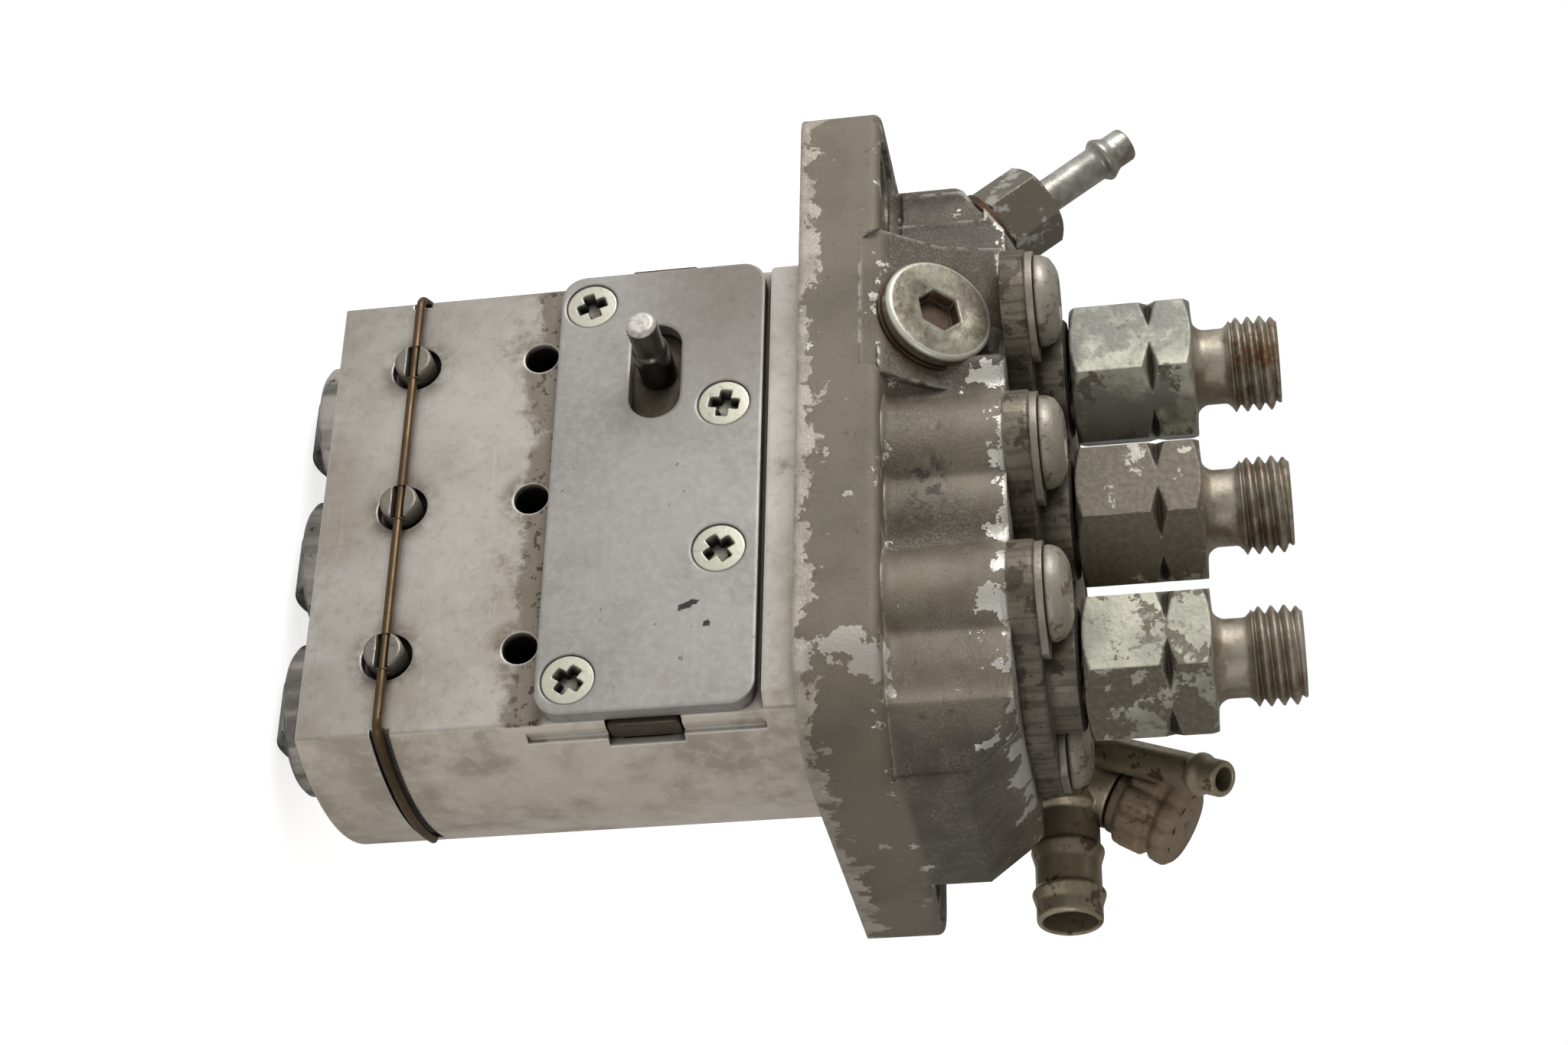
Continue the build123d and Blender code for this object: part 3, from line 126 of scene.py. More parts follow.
# Seats and axes of the three slanted pieces
VENT = frame_along((27.3, 26.5, 37.2), leaning(31.0, 1, 0), (0, 1, 0))
PLUG_SEAT, PLUG_AXIS = (-19.8, -16.9, 15.8), leaning(57.3, 0, -1)
UNION_SEAT, UNION_AXIS = (-41.6, -4.0, 21.7), leaning(36.0, -1, 0)


def place(local, where):
    """World points = origin + matrix x local points."""
    origin, turn = where
    return origin + local @ turn.T


def corner_rounded(profile, radius=0.3, steps=4):
    """Profile (r, z) with each inner corner C drawn as the curve
    (1-t)^2 A + 2t(1-t) C + t^2 B, where A and B lie on its two sides up to the radius away."""
    p = np.asarray(profile, float)
    before, corner, after = p[:-2], p[1:-1], p[2:]
    reach_a = np.linalg.norm(before - corner, axis=1, keepdims=True)
    reach_b = np.linalg.norm(after - corner, axis=1, keepdims=True)
    a = corner + (before - corner) / reach_a * np.minimum(radius, 0.45 * reach_a)
    b = corner + (after - corner) / reach_b * np.minimum(radius, 0.45 * reach_b)
    t = np.linspace(0, 1, steps)[None, :, None]
    curve = (1 - t) ** 2 * a[:, None] + 2 * t * (1 - t) * corner[:, None] + t**2 * b[:, None]
    return np.vstack([p[:1], curve.reshape(-1, 2), p[-1:]])


def refined(profile, step):
    """The same profile with extra points so that none is further than a step from the next."""
    p = np.asarray(profile, float)
    gaps = np.linalg.norm(np.diff(p, axis=0), axis=1)
    count = np.maximum(1, np.ceil(gaps / step)).astype(int)
    start = np.repeat(np.arange(len(count)), count)
    inner = np.arange(count.sum()) - np.repeat(np.cumsum(count) - count, count)
    share = inner / np.repeat(count, count)
    points = p[start] + (p[start + 1] - p[start]) * share[:, None]
    return np.vstack([points, p[-1:]])


def hexagon_radius(angle, across_flats, corner=0.0):
    """r = a / cos(((angle - corner) mod 60) - 30) in degrees, with a half the width over flats."""
    third = math.pi / 3
    return across_flats / 2 / np.cos(np.mod(angle - corner, third) - third / 2)


def round_angles(steps):
    """Angles round a turned piece, the last one step short of the first."""
    return np.arange(steps) * 2 * math.pi / steps


def closed_grid(grid):
    """Closed surface on a grid of rows of points: each row is a ring, and the first and the
    last row are closed with a fan to their middle. Returns points and faces."""
    rows, columns = grid.shape[:2]
    points = np.vstack([grid.reshape(-1, 3), grid[0].mean(0), grid[-1].mean(0)])
    row = np.arange(rows - 1)[:, None] * columns
    here = np.arange(columns)[None, :]
    there = (here + 1) % columns
    quads = np.stack([row + here, row + there, row + columns + there, row + columns + here], axis=-1)
    here, there = here[0], there[0]
    last = (rows - 1) * columns
    low = np.stack([there, here, np.full(columns, rows * columns)], axis=-1)
    high = np.stack([last + here, last + there, np.full(columns, rows * columns + 1)], axis=-1)
    return points, quads.reshape(-1, 4).tolist() + low.tolist() + high.tolist()


def shell(radii, heights, where, steps):
    """Surface x = r cos a, y = r sin a, z = height. Radii and heights are lists of blocks of
    rows, and a block has either one value or one for each angle in every row."""
    angle = round_angles(steps)[None, :]
    radius, height = (
        np.vstack([np.broadcast_to(block, (len(block), steps)) for block in blocks])
        for blocks in (radii, heights)
    )
    return closed_grid(place(np.stack([radius * np.cos(angle), radius * np.sin(angle), height], -1), where))


def turned(profile, where, steps=96, flutes=0, flute_depth=0.0, flute_from=0.0, flute_to=0.0):
    """Turned shell of a profile (r, z); between two heights r falls by
    depth x (0.5 + 0.5 cos(flutes x angle))^3, which cuts round flutes."""
    p = np.asarray(profile, float)
    angle = round_angles(steps)[None, :]
    radius = p[:, :1]
    if flutes:
        inside = (p[:, 1:] > flute_from) & (p[:, 1:] < flute_to) & (radius > 3.0)
        cut = flute_depth * (0.5 + 0.5 * np.cos(flutes * angle)) ** 3
        radius = np.where(inside, radius - cut, radius)
    return shell([np.maximum(radius, 1e-3)], [p[:, 1:]], where, steps)


def joined(*shells):
    """Several shells as one list of points and faces."""
    points, faces, start = [], [], 0
    for some_points, some_faces in shells:
        points.append(some_points)
        faces += [[i + start for i in face] for face in some_faces]
        start += len(some_points)
    return np.vstack(points), faces


def disc_relief(height, radius, where, rim, rings=44, steps=96):
    """Head of a fastener: rings of points z = height(x, y) out to the rim, then the side
    profile (r, z) down to the end. Returns points and faces."""
    angle = round_angles(steps)[None, :]
    spread = np.linspace(0.02, 1.0, rings)[:, None] * radius
    face = height(spread * np.cos(angle), spread * np.sin(angle))
    rim = np.asarray(rim, float)
    return shell([rim[:, :1], spread[::-1]], [rim[:, 1:], face[::-1]], where, steps)


def tube(path, radius, steps=14):
    """Round tube along a flat path: point = path + r (cos a n + sin a b), n the path's side
    direction in the plane and b the plane's normal."""
    run = np.gradient(path, axis=0)
    run = run / np.linalg.norm(run, axis=1, keepdims=True)
    up = np.array([0.0, 0.0, 1.0])
    side = np.cross(run, up)
    side = side / np.linalg.norm(side, axis=1, keepdims=True)
    angle = round_angles(steps)
    ring = side[:, None, :] * np.cos(angle)[:, None] + up * np.sin(angle)[:, None]
    return closed_grid(path[:, None, :] + radius * ring)


def add_piece(name, surface, material, body, nodes, crease=32.0):
    """Puts points (mm) and faces into a mesh object at the origin, with its finish and its ride."""
    points, faces = surface
    points = (points - np.array([0.0, SEAT_Y, 0.0])) * 0.001
    mesh = bpy.data.meshes.new(name)
    mesh.from_pydata(points.tolist(), [], faces)
    mesh.update()
    work = bmesh.new()
    work.from_mesh(mesh)
    bmesh.ops.recalc_face_normals(work, faces=work.faces)
    work.to_mesh(mesh)
    work.free()
    mesh.polygons.foreach_set("use_smooth", np.ones(len(mesh.polygons), bool))
    mesh.set_sharp_from_angle(angle=math.radians(crease))
    mesh.materials.append(material)
    piece = bpy.data.objects.new(name, mesh)
    bpy.context.scene.collection.objects.link(piece)
    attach(piece, body)
    if nodes:
        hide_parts(*nodes)
    return piece


class Value:
    """Number that a node gives; + - * and abs() add the node that works the result out."""

    def __init__(self, tree, socket):
        self.tree, self.socket = tree, socket

    def __add__(self, other):
        return self.tree.math("ADD", self, other)

    def __sub__(self, other):
        return self.tree.math("SUBTRACT", self, other)

    def __rsub__(self, other):
        return self.tree.math("SUBTRACT", other, self)

    def __mul__(self, other):
        return self.tree.math("MULTIPLY", self, other)

    def __abs__(self):
        return self.tree.math("ABSOLUTE", self)


class Nodes:
    """Fresh node tree of a material or a world."""

    def __init__(self, owner):
        owner.use_nodes = True
        self.owner, self.tree = owner, owner.node_tree
        self.tree.nodes.clear()

    def set(self, socket, value):
        """Wire a socket to another node or give it a constant."""
        if isinstance(value, Value):
            value = value.socket
        if isinstance(value, bpy.types.NodeSocket):
            self.tree.links.new(value, socket)
        elif socket.type == "RGBA":
            socket.default_value = (*value, 1.0)
        else:
            socket.default_value = value

    def add(self, kind, inputs=(), **settings):
        """New node with its settings and with (name or number, value) pairs for its inputs."""
        node = self.tree.nodes.new("ShaderNode" + kind)
        for name, value in settings.items():
            setattr(node, name, value)
        for key, value in inputs:
            self.set(node.inputs[key], value)
        return node

    def math(self, operation, a, b=0.0):
        """Arithmetic on two values."""
        return Value(self, self.add("Math", [(0, a), (1, b)], operation=operation).outputs[0])

    def most(self, first, *others):
        """The greatest of some values."""
        for other in others:
            first = self.math("MAXIMUM", first, other)
        return first


class Finish(Nodes):
    """Material worked on Object coordinates."""

    def __init__(self, name):
        super().__init__(bpy.data.materials.new(name))
        self.place = self.add("TexCoord").outputs["Object"]

    def noise(self, scale, detail=4.0, rough=0.55, stretch=(1, 1, 1), seed=0.0):
        """Noise with its scale in features per metre."""
        shift = (seed, seed * 0.7, -seed)
        mapping = self.add("Mapping", [("Vector", self.place), ("Location", shift), ("Scale", stretch)])
        grain = [("Vector", mapping.outputs[0]), ("Scale", scale), ("Detail", detail), ("Roughness", rough)]
        return Value(self, self.add("TexNoise", grain).outputs["Fac"])

    def ramp(self, value, low, high):
        """0 below low, 1 above high, with a smooth rise."""
        ends = [("Value", value), ("From Min", low), ("From Max", high)]
        return Value(self, self.add("MapRange", ends, interpolation_type="SMOOTHSTEP").outputs["Result"])

    def mix(self, share, a, b):
        """Colour a where share is 0 and b where it is 1."""
        return self.add("Mix", [(0, share), (6, a), (7, b)], data_type="RGBA").outputs[2]

    def blend(self, share, a, b):
        """Number a where share is 0 and b where it is 1."""
        return Value(self, self.add("Mix", [(0, share), (2, a), (3, b)], data_type="FLOAT").outputs[0])

    def bend(self, share, a, b):
        """Direction a where share is 0 and b where it is 1."""
        return self.add("Mix", [(0, share), (4, a), (5, b)], data_type="VECTOR").outputs[1]

    def vector(self, operation, output, a, b=(0, 0, 0)):
        """Vector arithmetic; returns its output of that name."""
        return self.add("VectorMath", [(0, a), (1, b)], operation=operation).outputs[output]

    def parts(self, vector):
        """X, Y and Z of a vector."""
        return [Value(self, socket) for socket in self.add("SeparateXYZ", [(0, vector)]).outputs]

    def position(self):
        """X, Y and Z of the surface point, in metres."""
        return self.parts(self.place)

    def normal(self):
        """The surface's own direction."""
        return self.add("NewGeometry").outputs["Normal"]

    def near(self, pitch, z, far, close):
        """1 close to points a pitch apart on X at height z (all in metres), 0 far from them."""
        x, _, height = self.position()
        x, up = self.math("PINGPONG", x, pitch / 2), height - z
        return self.ramp(self.math("SQRT", x * x + up * up), far, close)

    def about(self, point, axis):
        """Distance along an axis and distance from it, in metres. The point is in
        millimetres, in the layout that the pieces are set out in."""
        start = (np.array(point) - (0, SEAT_Y, 0)) * 0.001
        offset = self.vector("SUBTRACT", "Vector", self.place, start.tolist())
        along = Value(self, self.vector("DOT_PRODUCT", "Value", offset, unit(axis).tolist()))
        span = Value(self, self.vector("LENGTH", "Value", offset))
        return along, self.math("SQRT", self.most(span * span - along * along, 0.0))

    def edge(self, radius):
        """Rounded normal, and a mask that is 1 where the rounding bends it."""
        bent = self.add("Bevel", [("Radius", radius)], samples=6).outputs[0]
        kept = Value(self, self.vector("DOT_PRODUCT", "Value", bent, self.normal()))
        return bent, self.ramp(1.0 - kept, 0.01, 0.16)

    def corner(self, distance):
        """1 in corners that see little sky, 0 on open faces."""
        sky = self.add("AmbientOcclusion", [("Distance", distance)], samples=8).outputs["AO"]
        return 1.0 - Value(self, sky)

    def bump(self, height, distance, normal, strength=1.0):
        """Normal bent by a height field."""
        relief = [("Distance", distance), ("Strength", strength), ("Height", height), ("Normal", normal)]
        return self.add("Bump", relief).outputs[0]

    def finish(self, colour, roughness, metallic, normal):
        """Connect the shader and return the material."""
        surface = [("Base Color", colour), ("Roughness", roughness), ("Metallic", metallic)]
        shader = self.add("BsdfPrincipled", [*surface, ("Normal", normal)])
        self.add("OutputMaterial", [("Surface", shader.outputs[0])])
        return self.owner


def blended(a, b, share):
    """Colour between two colours."""
    return tuple((1 - share) * p + share * q for p, q in zip(a, b))


def setting(name):
    """Colour that the panel sets."""
    return tuple(getattr(bpy.context.scene.pump_colours, name))


def shade(colour, factor):
    """The same colour, darker or brighter."""
    return tuple(min(1.0, factor * c) for c in colour)


def worn_metal(
    name, colour, grime, roughness, metallic, dirt, spots, edge_radius, edge_colour, grain,
    corner_reach, nook_shade_and_dirt=0.8, patch=None, patch_level=0.62, streaks=0.0, streak_scale=1500,
):
    """Metal with cloudy tone, small spots, patches of another colour and lighter worn edges;
    its corners darken towards the grime colour as grime and painted shade."""
    f = Finish(name)
    cloud = f.ramp(f.noise(120, 5, 0.6), 0.38, 0.68)
    fine = f.noise(1700, 4, 0.6, seed=0.3)
    speck = f.ramp(f.noise(900, 6, 0.65, seed=0.7), 0.58, 0.68)
    tone = f.mix(cloud * dirt, colour, blended(colour, grime, 0.5))
    tone = f.mix(f.ramp(fine, 0.35, 0.7) * 0.25, tone, shade(colour, 1.3))
    if patch:
        share = f.ramp(f.noise(330, 6, 0.66, seed=0.55), patch_level, patch_level + 0.05)
        tone = f.mix(share * 0.85, tone, patch)
    if streaks:
        lines = f.noise(streak_scale, 3, 0.55, stretch=(1.0, 1.0, 0.08), seed=0.6)
        tone = f.mix(f.ramp(lines, 0.45, 0.62) * streaks, tone, grime)
    tone = f.mix(speck * spots, tone, grime)
    normal, worn = f.edge(edge_radius)
    if edge_colour:
        chipped = worn * f.ramp(f.noise(500, 4, 0.6, seed=0.2), 0.35, 0.6)
        tone = f.mix(chipped * 0.8, tone, edge_colour)
    # Painted shade: corners that see little sky darken towards the grime colour, which stands for grime and
    # shade together.
    nook = f.ramp(f.corner(corner_reach), 0.2, 0.7)
    tone = f.mix(nook * nook_shade_and_dirt, tone, grime)
    rough = f.blend(cloud, roughness, min(1.0, roughness + 0.2))
    rough = f.blend(nook, rough, 0.8)
    return f.finish(tone, rough, metallic, f.bump(fine, grain, normal))


def alloy_tone(f, alloy, grime):
    """Machined block: an even grey that turns browner on its ends and towards its foot, with
    brown stains beside the cover and round the pins and holes. The lighter tan of the ends is
    partly a painted sheen; painted shade darkens the -X end and the insides of the bores."""
    x, y, height = f.position()
    cloud = f.noise(60, 5, 0.6)
    mottle = f.noise(420, 6, 0.66, seed=0.4)
    tone = f.mix(f.ramp(cloud, 0.36, 0.68), alloy, blended(alloy, (0.30, 0.26, 0.21), 0.7))
    tone = f.mix(f.ramp(mottle, 0.42, 0.66) * 0.22, tone, shade(alloy, 1.25))
    # Painted shade: the grey darkens towards the -X end, where the block shows a darker reflection.
    tone = f.mix(f.ramp(x, -0.012, -0.033) * 0.35, tone, shade(alloy, 0.55))
    # The end faces turn a lighter tan: partly a brown tint of the metal, partly a painted sheen for the
    # light they reflect.
    side = f.ramp(abs(f.parts(f.normal())[0]), 0.5, 0.8)
    tan = f.ramp(f.noise(95, 5, 0.6, seed=0.77), 0.40, 0.62)
    brown = f.mix(tan, (0.66, 0.59, 0.50), (0.44, 0.38, 0.305))
    brown = f.mix(f.ramp(mottle, 0.46, 0.62) * 0.45, brown, (0.72, 0.67, 0.59))
    tone = f.mix(side, tone, brown)

    front = f.ramp(f.parts(f.normal())[1], -0.4, -0.8)
    beside = f.ramp(height, -0.0372, -0.0325) * f.ramp(height, -0.03, -0.0316)
    ragged = f.ramp(f.noise(150, 6, 0.7, seed=0.22) + beside * 0.35, 0.56, 0.74)
    ragged = ragged * (f.ramp(height, -0.045, -0.038) * front)
    dots = f.ramp(f.noise(1000, 3, 0.6, seed=0.15), 0.56, 0.62)
    holes = f.near(PITCH, HOLES_Z, 0.0052, 0.0026)
    pins = f.near(PITCH, PIN_Z * 0.001, 0.0062, 0.0028)
    around = f.most(holes, pins) * front * f.ramp(mottle, 0.36, 0.6)
    tone = f.mix(f.most(ragged, around) * 0.75, tone, (0.13, 0.095, 0.062))
    dotted = dots * front * f.most(beside * 0.9, 0.1)
    tone = f.mix(dotted, tone, grime)
    foot = f.ramp(height, -0.053, -0.0605) * f.ramp(mottle, 0.4, 0.62)
    tone = f.mix(foot * 0.35, tone, (0.2, 0.16, 0.12))
    # Painted shade: the insides of the pin bores and holes turn near black.
    pin_bores = f.near(PITCH, PIN_Z * 0.001, 0.004, 0.0036)
    bores = f.most(f.near(PITCH, HOLES_Z, 0.0027, 0.0024), pin_bores)
    deep = f.ramp(y, (-14.2 - SEAT_Y) * 0.001, (-13.2 - SEAT_Y) * 0.001)
    deep = deep * f.ramp(y, (14.2 - SEAT_Y) * 0.001, (13.2 - SEAT_Y) * 0.001)
    tone = f.mix(bores * deep * 0.95, tone, (0.012, 0.01, 0.008))
    scratch = f.ramp(f.noise(3000, 3, 0.5, stretch=(0.04, 1.0, 1.0), seed=0.5), 0.62, 0.72)
    return f.mix(scratch * 0.18, tone, (0.58, 0.56, 0.52))


def paint_tone(f, paint, bare, worn):
    """Olive-brown paint, sandy on the casting, worn off in ragged patches along the flange's
    lower edge, its upper edge and the top of the casting. Painted shade darkens the plug's boss,
    the right shoulder, the creases between the bulges, faces turned to +X and the hollows.
    Returns colour and bare share."""
    x, _, height = f.position()
    cloud = f.noise(75, 5, 0.6, seed=0.35)
    patches = f.noise(230, 7, 0.70, seed=0.4)
    sand = f.noise(3600, 3, 0.6, seed=0.9)
    upper = f.ramp(height, 0.0098, 0.0112)
    tone = f.mix(upper, paint, shade(paint, 1.25))
    tone = f.mix(f.ramp(cloud, 0.38, 0.66), tone, shade(paint, 0.70))
    # Painted shade: the plug's boss and the right shoulder are darkened.
    boss = f.ramp(x, -0.0085, -0.0125) * upper
    shoulder = f.ramp(x, 0.0325, 0.0365) * upper
    tone = f.mix(f.most(boss, shoulder) * 0.85, tone, shade(paint, 0.3))
    # Painted shadow in the creases between the bulges.
    crease = f.ramp(f.math("PINGPONG", x - 0.0115, 0.0105), 0.0072, 0.001)
    crease = crease * f.ramp(x, 0.0245, 0.0205) * upper * f.ramp(height, 0.025, 0.02)
    tone = f.mix(crease * 0.85, tone, (0.058, 0.044, 0.027))
    # Painted shade on faces that turn to +X, away from the key lamp.
    away = f.ramp(f.parts(f.normal())[0], 0.05, 0.55) * upper
    tone = f.mix(away * 0.3, tone, (0.07, 0.056, 0.038))
    # Painted shade in the casting's hollows.
    valley = f.ramp(f.corner(0.009), 0.22, 0.55)
    tone = f.mix(valley * upper * 0.65, tone, (0.075, 0.056, 0.034))
    rubbed = f.ramp(sand, 0.4, 0.68) * (upper * f.ramp(patches, 0.38, 0.58))
    tone = f.mix(rubbed * 0.42, tone, (0.3, 0.265, 0.215))
    dark = f.ramp(f.noise(520, 5, 0.7, seed=0.81), 0.62, 0.68) * 0.55
    tone = f.mix(dark, tone, (0.05, 0.045, 0.035))
    oily = f.ramp(abs(x - 0.0045), 0.006, 0.002) * upper
    oily = oily * f.ramp(abs(height - 0.015), 0.0032, 0.001)
    oily = oily * f.ramp(f.noise(560, 6, 0.72, seed=0.44), 0.5, 0.55)
    tone = f.mix(oily * 0.85, tone, (0.022, 0.019, 0.014))

    reach = (f.noise(330, 6, 0.62, seed=0.12) - 0.42) * 0.0125
    band = f.ramp(height - reach, 0.0009, 0.0006)
    step = f.ramp(height, 0.007, 0.0098) * f.ramp(height, 0.0128, 0.0104)
    step = f.ramp(patches + step * 0.085, 0.665, 0.685)
    large = f.noise(150, 5, 0.62, seed=0.71)
    crown = f.ramp(large + f.ramp(height, 0.018, 0.0248) * 0.17, 0.665, 0.675)
    crown = crown * f.ramp(height, 0.0172, 0.0185)
    edges = worn * f.ramp(f.noise(420, 4, 0.6, seed=0.2), 0.42, 0.56)
    edges = edges * (1.0 - upper * f.ramp(x, 0.034, 0.036))
    knock = f.ramp(abs(x - 0.0285), 0.0042, 0.001) * 0.155 * (1.0 - upper)
    knock = f.ramp(large + knock, 0.66, 0.675)
    chips = f.most(step, crown, edges * 0.75, knock * 0.62)
    tone = f.mix(band, tone, f.mix(f.ramp(patches, 0.4, 0.6), (0.40, 0.36, 0.30), (0.28, 0.245, 0.195)))
    return f.mix(chips, tone, bare), f.most(chips, band * 0.6)


def body_finish():
    """Machined aluminium below the flange and chipped olive-brown paint above it, with painted shade in
    corners and hollows and a painted highlight along the machined edges.
    """
    f = Finish("pump_body_alloy_and_paint")
    sizes, grime = bpy.context.scene.pump_sizes, setting("grime")
    height = f.position()[2]
    upper = f.ramp(height, -0.0002, 0.0002)
    normal, worn = f.edge(sizes.round_edge)
    crisp, crisp_wear_and_highlight = f.edge(sizes.crisp_edge)
    alloy = alloy_tone(f, setting("aluminium"), grime)
    # Pale band along the machined edges: partly wear, partly a painted highlight.
    alloy = f.mix(crisp_wear_and_highlight * 0.8, alloy, (0.9, 0.87, 0.8))
    paint, bare = paint_tone(f, setting("paint"), setting("bare"), worn)
    tone = f.mix(upper, alloy, paint)
    # Painted shade: corners darken towards the grime colour, as grime and shade, and deep hollows of the
    # block go near black.
    nook = f.ramp(f.corner(0.0035), 0.25, 0.80)
    tone = f.mix(nook * 0.78, tone, grime)
    depth = f.ramp(f.corner(0.009), 0.5, 0.85) * (1.0 - upper)
    tone = f.mix(depth * 0.9, tone, (0.012, 0.01, 0.008))
    fine = f.noise(2600, 4, 0.6, seed=0.9)
    rough = f.blend(upper, 0.44, f.blend(bare, 0.58, 0.36))
    metallic = f.blend(upper, 0.5, bare * 0.55)
    relief = fine * f.blend(upper, 0.3, 1.1) + bare * -0.6
    bent = f.bump(relief, 0.00009, f.bend(upper, crisp, normal), 0.8)
    return f.finish(tone, rough, metallic, bent)


# X, Z and half the length along X and Z of the cover's two nicks, in metres
NICKS = [(0.0180, -0.0134, 0.00055, 0.0014), (0.0206, -0.0112, 0.00050, 0.0004)]


def cover_finish():
    """Bare steel sheet, finely mottled, with a few dark specks and one dark nick, painted shade towards -X
    and the flange, and grime and painted shade in its corners.
    """
    f = Finish("cover_plate_bare_steel")
    x, _, height = f.position()
    cloud = f.noise(80, 5, 0.6, seed=0.2)
    mottle = f.noise(900, 6, 0.7, seed=0.45)
    tone = f.mix(f.ramp(cloud, 0.36, 0.68), (0.345, 0.33, 0.31), (0.275, 0.26, 0.24))
    tone = f.mix(f.ramp(mottle, 0.4, 0.66) * 0.35, tone, (0.44, 0.43, 0.41))
    warm = f.ramp(f.noise(130, 5, 0.6, seed=0.66), 0.56, 0.70)
    tone = f.mix(warm * 0.35, tone, (0.27, 0.22, 0.17))
    # Painted shade: the sheet darkens towards -X and the flange, as a darker reflection there.
    reflection_shade = f.ramp(x, 0.004, -0.03) * f.ramp(height, -0.028, -0.01)
    tone = f.mix(reflection_shade * 0.7, tone, (0.14, 0.12, 0.095))
    speck = f.ramp(f.noise(700, 4, 0.7, seed=0.4), 0.67, 0.71)
    tone = f.mix(speck * 0.75, tone, (0.07, 0.06, 0.045))
    ragged = (f.noise(900, 3, 0.6, seed=0.5) - 0.5) * 0.0016
    for nick_x, nick_z, half_x, half_z in NICKS:
        away = height - nick_z
        slant = away * 0.3 + ragged
        along = f.ramp(abs(x - nick_x + slant), half_x, 0.6 * half_x)
        across = f.ramp(abs(away + ragged), half_z, 0.7 * half_z)
        tone = f.mix(along * across, tone, (0.03, 0.03, 0.03))
    for spot_x, spot_z, _ in COVER_SCREWS:
        gap = f.about((spot_x, COVER_FACE_Y, spot_z), (0, -1, 0))[1]
        ring = f.ramp(abs(gap - 0.00315), 0.00036, 0.00014)
        tone = f.mix(ring * 0.9, tone, (0.03, 0.025, 0.02))
    normal, worn = f.edge(bpy.context.scene.pump_sizes.crisp_edge * 1.2)
    tone = f.mix(worn * 0.5, tone, (0.6, 0.58, 0.54))
    # Corners darken towards the grime colour: grime and painted shade.
    nook = f.ramp(f.corner(0.0016), 0.22, 0.75)
    tone = f.mix(nook * 0.85, tone, setting("grime"))
    rough = f.blend(f.ramp(cloud, 0.3, 0.7), 0.38, 0.50)
    return f.finish(tone, rough, 0.55, f.bump(mottle, 0.00003, normal))


def holder_finish():
    """Zinc plate under chipped olive paint; the first holder has hardly any paint left, the
    second most of it. The neck is stained brown and the first thread rusts; corners and
    notches carry painted shade."""
    f = Finish("holder_plate_and_paint")
    x, _, height = f.position()
    plate = setting("holder")
    cloud = f.noise(110, 5, 0.6, seed=0.15)
    patches = f.noise(175, 7, 0.68, seed=0.62)
    fine = f.noise(1500, 4, 0.6, seed=0.3)
    tone = f.mix(f.ramp(cloud, 0.38, 0.66), plate, shade(plate, 0.62))
    smudge = f.ramp(f.noise(240, 6, 0.7, seed=0.28), 0.58, 0.66)
    tone = f.mix(smudge * 0.6, tone, (0.07, 0.06, 0.045))
    dim = f.ramp(x, -0.008, -0.012) * f.ramp(f.noise(120, 6, 0.68, seed=0.93), 0.4, 0.54)
    tone = f.mix(dim * 0.8, tone, (0.125, 0.125, 0.115))
    third = f.ramp(x, 0.008, 0.012) * 0.085
    first = f.ramp(x, -0.008, -0.012) * 0.2
    level = patches + (third + first)
    lower = f.ramp(f.parts(f.normal())[0], 0.2, 0.8) * 0.07
    painted = f.ramp(level - lower, 0.58, 0.56)
    coat = f.mix(f.ramp(fine, 0.4, 0.65), (0.110, 0.092, 0.063), (0.150, 0.129, 0.094))
    tone = f.mix(painted, tone, coat)
    normal, worn = f.edge(0.00035)
    chipped = worn * f.ramp(f.noise(450, 4, 0.6, seed=0.2), 0.35, 0.55)
    tone = f.mix(chipped * 0.85, tone, (0.55, 0.53, 0.45))
    neck = f.ramp(height, 0.0468, 0.0474)
    stain = f.mix(f.ramp(patches, 0.42, 0.60), (0.38, 0.34, 0.27), (0.20, 0.15, 0.095))
    tone = f.mix(neck * 0.85, tone, stain)
    rust = f.ramp(x, -0.004, -0.016) * f.ramp(f.noise(420, 5, 0.7, seed=0.5), 0.48, 0.62)
    rust = f.most(rust, f.ramp(f.noise(300, 5, 0.7, seed=0.9), 0.56, 0.66) * 0.6)
    tone = f.mix(rust * f.ramp(height, 0.0505, 0.0525), tone, (0.2, 0.1, 0.045))
    # Painted shade: corners and notches of the hexagon turn near black; on the neck and thread the
    # darkening is weaker.
    nook = f.ramp(f.corner(0.0018), 0.18, 0.65) * f.blend(neck, 0.88, 0.45)
    tone = f.mix(nook, tone, (0.03, 0.022, 0.015))
    bare = 1.0 - painted
    metallic = f.blend(neck, f.blend(bare, 0.25, 0.45), 0.6)
    rough = f.blend(neck, f.blend(bare, 0.52, 0.46), 0.47)
    return f.finish(tone, rough, metallic, f.bump(fine, 0.00005, normal))


def fork_pin_finish():
    """Dark polished shaft with a pale ground end and painted shade where it meets other parts."""
    f = Finish("fork_pin_steel")
    fine = f.noise(1500, 4, 0.6, seed=0.3)
    end = f.ramp(f.position()[1], (-24.95 - SEAT_Y) * 0.001, (-25.15 - SEAT_Y) * 0.001)
    streaks = f.ramp(f.noise(300, 5, 0.6, stretch=(1.0, 0.15, 1.0)), 0.4, 0.62)
    shaft = f.mix(streaks, (0.13, 0.12, 0.105), (0.04, 0.034, 0.028))
    tone = f.mix(end, shaft, f.mix(f.ramp(fine, 0.4, 0.65), (0.62, 0.59, 0.55), (0.40, 0.38, 0.34)))
    # Painted shade: where the pin meets other parts it turns near black.
    nook = f.ramp(f.corner(0.005), 0.2, 0.7)
    tone = f.mix(nook * 0.9, tone, (0.012, 0.01, 0.008))
    bent = f.bump(fine, 0.00002, f.edge(0.0003)[0])
    return f.finish(tone, f.blend(end, 0.22, 0.42), f.blend(end, 0.9, 0.5), bent)


